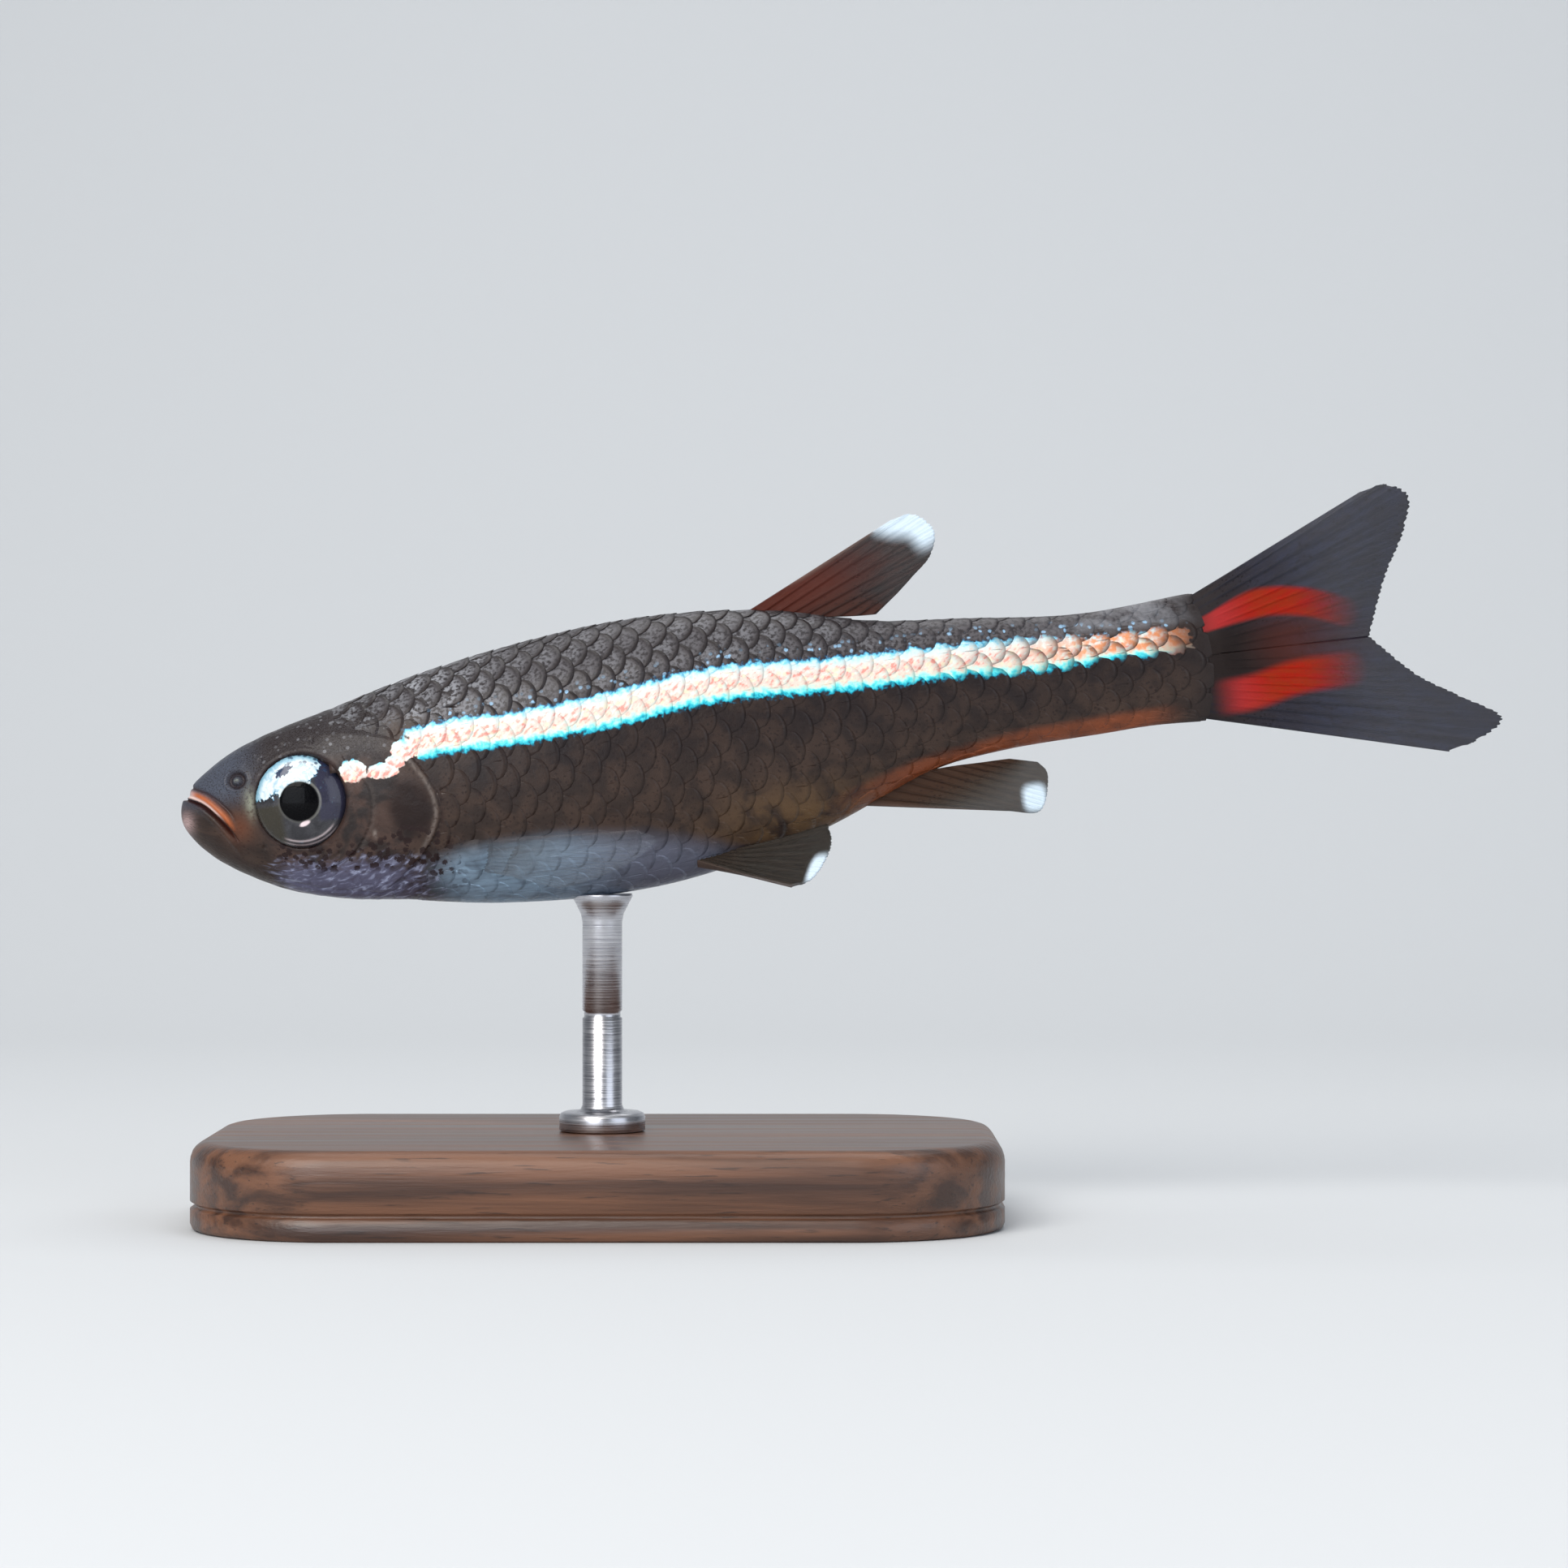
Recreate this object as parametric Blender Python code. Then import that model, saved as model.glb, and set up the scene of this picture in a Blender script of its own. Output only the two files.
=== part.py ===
"""White cloud mountain minnow, life size, held swimming over a plain display stand.

Run it with: blender --background --python part.py

Sizes are millimetres in the fish's own frame. A point there is (along, side, rise): along
runs from the tip of the lower jaw to the tail, side is 0 on the middle line with the fish's
left negative, and rise is up across the body. The fish hangs on an empty that pitches it
head down over the stand. Finished meshes are scaled to metres. In the world the fish faces
-X, +Z is up, and the origin is on the table under the middle of the model.
"""

import math

import bmesh
import bpy
import numpy as np
from mathutils import Matrix, Vector

MM = 0.001
GAP = 0.3  # between one piece and the next

# The pose and the whole fish
BODY_LENGTH = 31.0  # from the jaw tip to the root of the tail fin
PITCH = math.radians(8.41)  # head down
JAW_TIP = (-19.92, 0.0, 12.25)  # in the world

# The body's profile: (along, rise) of the back, the belly and the line where it is widest
BACK = (
    (0, -0.12), (0.35, 0.62), (0.95, 1.08), (1.9, 1.59), (3.1, 1.98), (4.7, 2.36), (6.2, 2.72),
    (8.0, 3.12), (10.8, 3.54), (13.9, 3.77), (17.0, 3.63), (18.6, 3.4), (21.7, 2.62),
    (24.0, 2.36), (27.9, 1.97), (31.0, 2.1),
)
BELLY = (
    (0, -0.2), (0.35, -1.02), (0.95, -1.64), (1.9, -2.3), (3.1, -2.92), (4.7, -3.38),
    (6.2, -3.64), (9.3, -4.19), (12.6, -4.41), (14.7, -4.31), (17.0, -3.92), (19.4, -3.31),
    (21.1, -2.68), (22.9, -2.06), (24.6, -1.85), (27.9, -1.78), (29.5, -1.76), (31.0, -1.86),
)
WAIST = ((0, -0.16), (1.9, -0.25), (3.6, -0.2), (8.0, -0.1), (14.0, 0.0), (22.0, 0.2), (31.0, 0.12))
HALF_WIDTH = (
    (0, 0.05), (0.35, 0.6), (0.95, 1.0), (1.9, 1.36), (3.1, 1.66), (4.7, 1.93), (6.2, 2.12),
    (8.0, 2.27), (10.8, 2.36), (13.9, 2.26), (17.0, 1.98), (21.1, 1.42), (24.6, 1.02),
    (27.9, 0.74), (31.0, 0.42),
)
# How full a cross-section is above and below the widest line: 2 is an ellipse, more is squarer
FULL_ABOVE = ((0, 2.0), (3.0, 2.5), (6.2, 2.3), (10.0, 2.05), (31.0, 2.0))
FULL_BELOW = ((0, 2.0), (3.0, 1.85), (6.2, 1.95), (10.0, 2.25), (16.0, 2.2), (22.0, 1.9), (31.0, 2.0))
TAIL_BULGE = 0.35  # how far the middle of the tail root stands behind its top and bottom
TAIL_BULGE_FROM = 28.0
BODY_STATIONS = 42
BODY_SIDES = 32
SNOUT_CROWDING = 1.6  # how much closer the stations stand towards the snout

# Where the body is parted, as (along, rise) seen from the side, each running downwards
GILL_LINE = (
    (5.9, 4.0), (6.25, 2.6), (6.85, 1.3), (7.35, 0.5), (7.85, -0.5), (7.9, -1.2), (7.5, -2.0),
    (6.5, -2.85), (5.6, -3.4), (4.6, -4.4),
)
MOUTH_LINE = ((-0.9, 0.82), (0.3, 0.33), (0.75, 0.1), (1.2, -0.35), (1.62, -0.95), (1.95, -1.5), (2.5, -3.6))
TAIL_STEM_FROM = 25.75

# The gill cover, a curved plate that ends behind at the gill line: its edge runs from the top
# of that line forwards, down and back to the line's foot
COVER_EDGE = (
    (8.6, 1.0), (6.95, 0.9), (6.4, 0.65), (6.18, 0.1), (6.14, -0.5), (5.98, -1.1), (5.6, -1.7),
    (5.3, -2.15), (5.45, -2.45), (6.1, -2.5), (8.6, -2.35),
)
COVER_THICK = 0.5

# The eyes, lips and nostrils
EYE_PLACE = (3.76, -0.24)
EYE_RADIUS = 1.4
EYE_HALF_DEPTH = 0.62
EYE_PROUD = 0.26  # how far it stands out of the cheek
EYE_TURN = math.radians(8)  # how far it looks forward
MOUTH_CORNER = 1.72  # along, where the lips end
LIP_RADIUS = 0.14
LIP_OFF_LINE = 0.29  # from the mouth line to the middle of each lip
LIP_SINK = 0.07  # how far back the lips are set into the snout
NOSTRIL_PLACE = (1.7, 0.7)
NOSTRIL_RIM = 0.22
NOSTRIL_HOLE = 0.13
NOSTRIL_PROUD = 0.08

# Fins. A membrane thins to its margin, and each ray stands up as a ridge on both faces
FIN_THICK = 0.5
FIN_TIP_THICK = 0.24
FIN_THIN_FROM = 0.5  # share of a ray's length where the fin starts to thin
RAY_PROUD = 0.07
MARGIN_DIP = 0.03  # how far the margin steps back between two rays, as a share of their length
RAY_STEPS = 8

DORSAL_BASE = (18.38, 21.75)  # along
DORSAL_MARGIN = ((22.5, 5.58), (23.15, 5.67), (23.75, 5.03), (23.53, 4.37), (22.9, 3.8), (22.35, 3.35))
DORSAL_RAYS = 9
ANAL_BASE = (21.11, 25.11)
ANAL_MARGIN = ((24.7, -3.64), (25.69, -3.77), (26.0, -3.1), (26.03, -2.6), (25.8, -2.3))
ANAL_RAYS = 11
TAIL_UPPER_ROOT = (2.08, 0.3)  # rise
TAIL_UPPER_MARGIN = ((36.9, 4.42), (37.65, 4.41), (38.08, 3.98), (37.85, 3.2), (37.12, 1.82), (36.4, 0.16))
TAIL_LOWER_ROOT = (-1.84, -0.06)
TAIL_LOWER_MARGIN = (
    (38.2, -3.82), (39.26, -3.55), (39.96, -3.13), (38.83, -2.22), (37.81, -1.53), (36.3, -0.22),
)
TAIL_RAYS = 9  # in each lobe
TAIL_UPPER_SWAY, TAIL_LOWER_SWAY = 1.2, 0.4  # how far each lobe's tip is carried to the right
PELVIC_ROOT = ((15.0, 0.95, -3.75), (15.45, 0.88, -3.75), (15.95, 0.8, -3.7))
PELVIC_MARGIN = (
    (17.9, 1.7, -4.93), (18.5, 1.72, -4.8), (18.95, 1.65, -4.38), (19.3, 1.5, -3.7), (19.25, 1.35, -3.2),
)
PELVIC_RAYS = 8
PECTORAL_ROOT = ((8.7, 1.7, -2.15), (8.8, 1.6, -2.6), (8.75, 1.35, -3.0))
PECTORAL_MARGIN = (
    (13.7, 3.6, -2.55), (14.2, 3.65, -2.9), (13.6, 3.5, -3.35), (12.4, 3.15, -3.75), (11.1, 2.65, -3.95),
)
PECTORAL_RAYS = 10

# The stand, in the world
BASE_LONG, BASE_DEEP, BASE_HIGH = 24.0, 15.0, 2.6
BASE_CORNER = 4.5
BASE_FOOT_BEVEL, BASE_TOP_BEVEL = 0.2, 0.4
CORNER_STEPS = 7
ROD_ALONG = 12.2  # where on the belly the rod stands
ROD_RADIUS = 0.6
ROD_SIDES = 24
COLLAR_RADIUS, COLLAR_HIGH = 1.3, 0.6

COLOURS = {  # red, green, blue, roughness
    "skin": (0.16, 0.12, 0.1, 0.35),
    "cover": (0.2, 0.14, 0.13, 0.3),
    "eye": (0.75, 0.82, 0.85, 0.15),
    "fin": (0.2, 0.19, 0.22, 0.4),
    "wood": (0.09, 0.05, 0.035, 0.45),
    "steel": (0.6, 0.6, 0.62, 0.3),
}


def smooth_curve(points):
    """A function that runs smoothly through (place, value) points."""
    place, value = np.array(points, float).T
    slope = np.gradient(value, place)

    def at(where):
        """The value at one or more places."""
        where = np.clip(where, place[0], place[-1])
        i = np.clip(np.searchsorted(place, where) - 1, 0, len(place) - 2)
        step = place[i + 1] - place[i]
        t = (where - place[i]) / step
        return (
            (2 * t**3 - 3 * t**2 + 1) * value[i]
            + (t**3 - 2 * t**2 + t) * step * slope[i]
            + (3 * t**2 - 2 * t**3) * value[i + 1]
            + (t**3 - t**2) * step * slope[i + 1]
        )

    return at


def smooth_path(points):
    """A function from 0..1 to a point on a smooth line through the points, evenly paced."""
    points = np.array(points, float)
    steps = np.linalg.norm(np.diff(points, axis=0), axis=1)
    share = np.concatenate([[0], np.cumsum(steps)]) / steps.sum()
    axes = [smooth_curve(np.column_stack([share, column])) for column in points.T]
    return lambda t: np.stack([axis(t) for axis in axes], axis=-1)


def along_profile(points):
    """A profile curve of the body. It is smooth in the root of along, which rounds the snout."""
    curve = smooth_curve([(math.sqrt(along), value) for along, value in points])
    return lambda along: curve(np.sqrt(along))


back, belly = along_profile(BACK), along_profile(BELLY)
waist, half_width = along_profile(WAIST), along_profile(HALF_WIDTH)
full_above, full_below = smooth_curve(FULL_ABOVE), smooth_curve(FULL_BELOW)


def tail_bulge(along, height_share):
    """How far the tail root stands back at a share of the way from the middle to the edge."""
    end = np.clip((along - TAIL_BULGE_FROM) / (BODY_LENGTH - TAIL_BULGE_FROM), 0, 1)
    return TAIL_BULGE * end * (1 - height_share**2)


def skin_point(along, turn, grow=0.0):
    """The point of the body's surface at a turn from the back: half a turn is the belly."""
    above = np.cos(turn) > 0
    middle = waist(along)
    height = np.where(above, back(along) - middle, middle - belly(along)) + grow
    power = 2 / np.where(above, full_above(along), full_below(along))
    up = np.sign(np.cos(turn)) * np.abs(np.cos(turn)) ** power
    out = np.sign(np.sin(turn)) * np.abs(np.sin(turn)) ** power
    stretch = grow * (2 * along / BODY_LENGTH - 1)
    place = along + tail_bulge(along, up) + stretch
    return np.stack([place, -(half_width(along) + grow) * out, middle + height * up], axis=-1)


def side_at(along, rise):
    """Half the body's width at a point seen from the side."""
    middle = waist(along)
    above = rise > middle
    height = np.where(above, back(along) - middle, middle - belly(along))
    power = np.where(above, full_above(along), full_below(along))
    share = np.clip(np.abs(rise - middle) / height, 0, 1)
    return half_width(along) * (1 - share**power) ** (1 / power)


def new_object(name, points, faces):
    """A mesh object of these points and faces, its faces turned outwards."""
    mesh = bpy.data.meshes.new(name)
    mesh.from_pydata([tuple(p) for p in np.asarray(points, float)], [], faces)
    shape = bmesh.new()
    shape.from_mesh(mesh)
    bmesh.ops.recalc_face_normals(shape, faces=shape.faces)
    shape.to_mesh(mesh)
    shape.free()
    made = bpy.data.objects.new(name, mesh)
    bpy.context.scene.collection.objects.link(made)
    return made


def closed_rings(name, rings, first_cap, last_cap):
    """A closed surface over rings of points, with a point in the middle of each end."""
    count, sides = rings.shape[:2]
    first, last = count * sides, count * sides + 1
    faces = []
    for j in range(sides):
        k = (j + 1) % sides
        faces.append((first, k, j))
        for i in range(count - 1):
            low, high = i * sides, (i + 1) * sides
            faces.append((low + j, low + k, high + k))
            faces.append((low + j, high + k, high + j))
        end = (count - 1) * sides
        faces.append((last, end + j, end + k))
    return new_object(name, np.vstack([rings.reshape(-1, 3), first_cap, last_cap]), faces)


def ring_turns(sides):
    """The angles of a ring's points, once round."""
    return 2 * math.pi * np.arange(sides) / sides


def body_solid(name, grow=0.0, first=0.0, last=BODY_LENGTH):
    """The body from one place along it to another, its surface moved out by grow."""
    whole = first == 0.0
    share = np.linspace(0, 1, BODY_STATIONS)
    if whole:
        share = np.linspace(0, 1, BODY_STATIONS + 1)[1:] ** SNOUT_CROWDING
    stations = first + (last - first) * share
    rings = skin_point(stations[:, None], ring_turns(BODY_SIDES)[None, :], grow)
    front = (-grow, 0, waist(0.0)) if whole else (rings[0, :, 0].mean(), 0, waist(first))
    rear = (rings[-1, :, 0].max(), 0, waist(last))
    return closed_rings(name, rings, front, rear)


def prism(name, outline, near, far):
    """A block with this outline of (along, rise) points, from side near to side far."""
    count = len(outline)
    points = [(a, near, r) for a, r in outline] + [(a, far, r) for a, r in outline]
    walls = [(i, (i + 1) % count, count + (i + 1) % count, count + i) for i in range(count)]
    ends = [tuple(range(count)), tuple(range(2 * count - 1, count - 1, -1))]
    return new_object(name, points, ends + walls)


def moved_line(line, by, count=24):
    """Evenly spaced points of a line that runs downwards, moved that far towards the tail."""
    points = smooth_path(line)(np.linspace(0, 1, count))
    ahead = np.gradient(points, axis=0)
    ahead /= np.linalg.norm(ahead, axis=1)[:, None]
    return points + by * np.column_stack([-ahead[:, 1], ahead[:, 0]])


def boolean(target, others, operation):
    """Cuts, joins or meets the target with other objects, which are then removed."""
    group = bpy.data.collections.new("tools")
    bpy.context.scene.collection.children.link(group)
    for other in others:
        group.objects.link(other)
    modifier = target.modifiers.new(operation.lower(), "BOOLEAN")
    modifier.operation = operation
    modifier.operand_type = "COLLECTION"
    modifier.collection = group
    modifier.solver = "EXACT"
    bpy.context.view_layer.update()
    graph = bpy.context.evaluated_depsgraph_get()
    made = bpy.data.meshes.new_from_object(target.evaluated_get(graph))
    target.modifiers.clear()
    target.data = made
    for other in others:
        bpy.data.objects.remove(other)
    bpy.data.collections.remove(group)
    keep_largest(target)
    return target


def keep_largest(target):
    """Leaves only the largest closed surface of the target."""
    shape = bmesh.new()
    shape.from_mesh(target.data)
    left, surfaces = set(shape.verts), []
    while left:
        surface, edge = set(), [next(iter(left))]
        while edge:
            vertex = edge.pop()
            if vertex not in surface:
                surface.add(vertex)
                edge += [e.other_vert(vertex) for e in vertex.link_edges]
        surfaces.append(surface)
        left -= surface
    surfaces.sort(key=span_of)
    for scrap in surfaces[:-1]:
        bmesh.ops.delete(shape, geom=list(scrap), context="VERTS")
    shape.to_mesh(target.data)
    shape.free()


def span_of(vertices):
    """The diagonal of the box round some vertices."""
    places = np.array([v.co for v in vertices])
    return float(np.linalg.norm(places.max(0) - places.min(0)))


def front_outline():
    """The side view of all that lies in front of the gill line, less half the gap."""
    return [*map(tuple, moved_line(GILL_LINE, -0.5 * GAP)), (-1.5, -5.0), (-1.5, 4.4)]


def gill_plate(name, hand, grown, depth):
    """A block on one side of the head, in the gill cover's outline moved out by grown."""
    near, far = sorted((hand * 0.2, hand * 6))
    block = prism(name, [*map(tuple, moved_line(COVER_EDGE, -grown, 26))], near, far)
    return boolean(block, [body_solid("core", -depth, 2.5, 12.0)], "DIFFERENCE")


def build_gill_cover(name, hand):
    """One gill cover, a curved plate whose outer face is the side of the head."""
    cover = gill_plate(name, hand, 0.0, COVER_THICK)
    boolean(cover, [body_solid("outside")], "INTERSECT")
    return boolean(cover, [prism("front", front_outline(), -6, 6)], "INTERSECT")


def eye_solid(name, hand, grow=0.0, sides=28, rings=12):
    """An eye as a flattened ball that looks a little forward, or its socket when grown."""
    tilts = math.pi * (np.arange(rings - 1) + 1) / rings
    turns = ring_turns(sides)
    ball = np.stack(
        [
            np.sin(tilts)[:, None] * np.cos(turns),
            np.cos(tilts)[:, None] * np.ones(sides),
            np.sin(tilts)[:, None] * np.sin(turns),
        ],
        axis=-1,
    )
    radii = np.array([EYE_RADIUS, EYE_HALF_DEPTH, EYE_RADIUS]) + grow
    made = closed_rings(name, ball * radii, (0, radii[1], 0), (0, -radii[1], 0))
    along, rise = EYE_PLACE
    middle = (along, hand * (side_at(along, rise) + EYE_PROUD - EYE_HALF_DEPTH), rise)
    made.data.transform(Matrix.Translation(middle) @ Matrix.Rotation(hand * EYE_TURN, 4, "Z"))
    return made


def nostril_disc(name, hand, radius, proud, deep):
    """A short round stub across the snout at a nostril, for its rim or its hole."""
    along, rise = NOSTRIL_PLACE
    side = side_at(along, rise)
    outline = [(along + 1.2 * radius * math.cos(t), rise + radius * math.sin(t)) for t in ring_turns(10)]
    near, far = sorted((hand * (side - deep), hand * (side + proud)))
    return prism(name, outline, near, far)


def lip_tube(name, off_line, sides=7, steps=26):
    """A lip that follows the mouth line from one corner round the snout to the other."""
    line = moved_line(MOUTH_LINE, off_line, 600)
    on_body = (line[:, 0] > 0) & (line[:, 0] < MOUTH_CORNER)
    line = line[on_body]
    line = line[(line[:, 1] < back(line[:, 0])) & (line[:, 1] > belly(line[:, 0]))]
    right = np.column_stack([line[:, 0], side_at(line[:, 0], line[:, 1]), line[:, 1]])
    path = smooth_path(np.vstack([right[::-1] * (1, -1, 1), right])[::6])(np.linspace(0, 1, steps))
    path[:, 0] += LIP_SINK
    ahead = np.gradient(path, axis=0)
    ahead /= np.linalg.norm(ahead, axis=1)[:, None]
    across = np.cross(ahead, (0, 0, 1))
    across /= np.linalg.norm(across, axis=1)[:, None]
    up = np.cross(across, ahead)
    size = LIP_RADIUS * (1 - 0.55 * np.linspace(-1, 1, steps) ** 8)[:, None, None]
    turns = ring_turns(sides)[None, :, None]
    rings = path[:, None] + size * (np.cos(turns) * across[:, None] + np.sin(turns) * up[:, None])
    return closed_rings(name, rings, path[0], path[-1])


def jaw_outline(by):
    """The side view of all that lies in front of and below the mouth line."""
    line = moved_line(MOUTH_LINE, by)
    return [*map(tuple, line), (-1.5, -3.6), (-1.5, 0.82)]


def build_head():
    """The head, with eye sockets, nostrils, the upper lip and room for the gill covers."""
    head = boolean(body_solid("head"), [prism("front", front_outline(), -6, 6)], "INTERSECT")
    boolean(head, [prism("jaw", jaw_outline(0.5 * GAP), -6, 6)], "DIFFERENCE")
    rims = [nostril_disc("rim", hand, NOSTRIL_RIM, NOSTRIL_PROUD, 0.4) for hand in (-1, 1)]
    boolean(head, [lip_tube("upper_lip", LIP_OFF_LINE), *rims], "UNION")
    holes = [nostril_disc("hole", hand, NOSTRIL_HOLE, 0.4, 0.1) for hand in (-1, 1)]
    sockets = [eye_solid("socket", hand, GAP, 24, 10) for hand in (-1, 1)]
    pockets = [gill_plate("pocket", hand, GAP, COVER_THICK + GAP) for hand in (-1, 1)]
    return boolean(head, holes + sockets + pockets, "DIFFERENCE")


def build_lower_jaw():
    """The lower jaw and its lip."""
    jaw = boolean(body_solid("lower_jaw"), [prism("below", jaw_outline(-0.5 * GAP), -6, 6)], "INTERSECT")
    return boolean(jaw, [lip_tube("lower_lip", -LIP_OFF_LINE)], "UNION")


def build_trunk():
    """The body from behind the gills to the tail stem."""
    rear = TAIL_STEM_FROM - 0.5 * GAP
    outline = [*map(tuple, moved_line(GILL_LINE, 0.5 * GAP)), (rear, -6.0), (rear, 6.0)]
    return boolean(body_solid("trunk"), [prism("middle", outline, -6, 6)], "INTERSECT")


def build_tail_stem():
    """The narrow stem in front of the tail fin."""
    front, rear = TAIL_STEM_FROM + 0.5 * GAP, BODY_LENGTH + 3
    outline = [(front, 5.0), (rear, 5.0), (rear, -5.0), (front, -5.0)]
    return boolean(body_solid("tail_stem"), [prism("behind", outline, -6, 6)], "INTERSECT")


def fin_solid(name, root, margin, rays, sway=0.0):
    """A fin fanned from its root line to its margin, both from the leading ray to the last."""
    place = np.linspace(0, 1, 2 * rays - 1)
    on_ray = (np.arange(len(place)) % 2 == 0)[:, None]
    reach = np.linspace(0, 1, RAY_STEPS)[None, :] * np.where(on_ray, 1.0, 1.0 - MARGIN_DIP)
    root_line, margin_line = smooth_path(root)(place)[:, None], smooth_path(margin)(place)[:, None]
    middle = root_line + (margin_line - root_line) * reach[..., None]
    middle[..., 1] += sway * reach**2
    across = np.cross(np.gradient(middle, axis=0), np.gradient(middle, axis=1))
    across /= np.linalg.norm(across, axis=-1)[..., None]
    thin = np.clip((reach - FIN_THIN_FROM) / (1 - FIN_THIN_FROM), 0, 1)
    thick = FIN_THICK + (FIN_TIP_THICK - FIN_THICK) * thin
    half = 0.5 * thick + RAY_PROUD * on_ray * (1 - 0.5 * reach)
    near, far = middle - across * half[..., None], middle + across * half[..., None]
    return new_object(name, np.vstack([near.reshape(-1, 3), far.reshape(-1, 3)]), sheet_faces(*reach.shape))


def sheet_faces(columns, rows):
    """Triangles of a thin sheet, split alike on both faces, with a wall all round its rim."""
    other = columns * rows
    faces = []
    for i in range(columns - 1):
        for j in range(rows - 1):
            a, b = i * rows + j, (i + 1) * rows + j
            faces += [(a, b, b + 1), (a, b + 1, a + 1)]
            faces += [(other + a, other + b + 1, other + b), (other + a, other + a + 1, other + b + 1)]
    start = [i * rows for i in range(columns)]
    end = [i * rows + rows - 1 for i in range(columns)]
    last = (columns - 1) * rows
    rim = start + list(range(last + 1, last + rows)) + end[-2::-1] + list(range(rows - 2, 0, -1))
    for a, b in zip(rim, rim[1:] + rim[:1]):
        faces += [(a, other + a, other + b), (a, other + b, b)]
    return faces


def flat(points):
    """Side-view points put on the middle line."""
    return [(along, 0.0, rise) for along, rise in points]


def build_dorsal_fin():
    """The fin on the back, its root just clear of the back."""
    base = [(along, back(along) + GAP) for along in np.linspace(*DORSAL_BASE, 5)]
    return fin_solid("dorsal_fin", flat(base), flat(DORSAL_MARGIN), DORSAL_RAYS)


def build_anal_fin():
    """The fin under the tail end of the body, its root just clear of the belly."""
    base = [(along, belly(along) - GAP) for along in np.linspace(*ANAL_BASE, 5)]
    return fin_solid("anal_fin", flat(base), flat(ANAL_MARGIN), ANAL_RAYS)


def tail_root(ends):
    """Points down the end of the tail stem, the gap behind it, from one rise to another."""
    middle = waist(BODY_LENGTH)
    points = []
    for rise in np.linspace(*ends, 5):
        edge = back(BODY_LENGTH) if rise > middle else belly(BODY_LENGTH)
        share = (rise - middle) / (edge - middle)
        points.append((BODY_LENGTH + tail_bulge(BODY_LENGTH, share) + GAP, rise))
    return flat(points)


def build_tail_fin():
    """The two lobes of the tail fin, apart by the gap at the fork."""
    upper = tail_root(TAIL_UPPER_ROOT)
    lower = tail_root(TAIL_LOWER_ROOT)
    return [
        fin_solid("tail_fin_upper", upper, flat(TAIL_UPPER_MARGIN), TAIL_RAYS, TAIL_UPPER_SWAY),
        fin_solid("tail_fin_lower", lower, flat(TAIL_LOWER_MARGIN), TAIL_RAYS, TAIL_LOWER_SWAY),
    ]


def build_paired_fin(name, hand, root, margin, rays):
    """A fin of one side, its root cut to the side of the body with the gap between them."""
    own = (1, hand, 1)
    fin = fin_solid(name, np.array(root) * own, np.array(margin) * own, rays)
    return boolean(fin, [body_solid("flank", GAP, root[0][0] - 3.0, root[0][0] + 9.0)], "DIFFERENCE")


def rounded_outline(long, deep, corner, inset):
    """The outline of the base, drawn in by inset."""
    radius = corner - inset
    points = []
    for quarter in range(4):
        turns = math.pi / 2 * (quarter + np.arange(CORNER_STEPS + 1) / CORNER_STEPS)
        x = (long / 2 - corner) * (1 if quarter in (0, 3) else -1)
        y = (deep / 2 - corner) * (1 if quarter in (0, 1) else -1)
        points += [(x + radius * math.cos(t), y + radius * math.sin(t)) for t in turns]
    return points


def rod_foot():
    """Where the rod stands on the base, in the world: under its place on the belly."""
    touch = fish_pose() @ Vector((ROD_ALONG, 0, belly(ROD_ALONG)))
    return Vector((touch.x, 0, BASE_HIGH + GAP)), touch


def build_stand_base():
    """The base, a rounded slab with an eased top edge, flat underneath."""
    steps = (
        (0.0, BASE_FOOT_BEVEL), (BASE_FOOT_BEVEL, 0.0), (BASE_HIGH - BASE_TOP_BEVEL, 0.0),
        (BASE_HIGH - 0.3 * BASE_TOP_BEVEL, 0.3 * BASE_TOP_BEVEL), (BASE_HIGH, BASE_TOP_BEVEL),
    )
    rings = []
    for height, inset in steps:
        outline = rounded_outline(BASE_LONG, BASE_DEEP, BASE_CORNER, inset)
        rings.append([(x, y, height) for x, y in outline])
    foot, _ = rod_foot()
    base = closed_rings("stand_base", np.array(rings), (0, 0, 0), (0, 0, BASE_HIGH))
    base.location = (foot.x, 0, 0)
    return base


def build_stand_rod():
    """The rod and its collar, its top hollowed to the belly with the gap between them."""
    foot, touch = rod_foot()
    top = touch.z + 1.5
    profile = (
        (COLLAR_RADIUS, 0.0), (COLLAR_RADIUS, 0.75 * COLLAR_HIGH), (0.85 * COLLAR_RADIUS, COLLAR_HIGH),
        (ROD_RADIUS, COLLAR_HIGH), (ROD_RADIUS, top - foot.z),
    )
    turns = ring_turns(ROD_SIDES)
    rings = np.array([[(r * math.cos(t), r * math.sin(t), height) for t in turns] for r, height in profile])
    rod = closed_rings("stand_rod", rings, (0, 0, 0), (0, 0, top - foot.z))
    fish = body_solid("above", GAP, ROD_ALONG - 4, ROD_ALONG + 4)
    fish.data.transform(Matrix.Translation(-foot) @ fish_pose())
    boolean(rod, [fish], "DIFFERENCE")
    rod.location = foot
    return rod


def fish_pose():
    """The fish's place in the world, in millimetres."""
    return Matrix.Translation(JAW_TIP) @ Matrix.Rotation(-PITCH, 4, "Y")


def new_material(name):
    """A plain Principled material of one of the named colours."""
    red, green, blue, roughness = COLOURS[name]
    material = bpy.data.materials.new(name)
    material.use_nodes = True
    shader = material.node_tree.nodes["Principled BSDF"]
    shader.inputs["Base Color"].default_value = (red, green, blue, 1.0)
    shader.inputs["Roughness"].default_value = roughness
    shader.inputs["Metallic"].default_value = 1.0 if name == "steel" else 0.0
    return material


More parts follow.
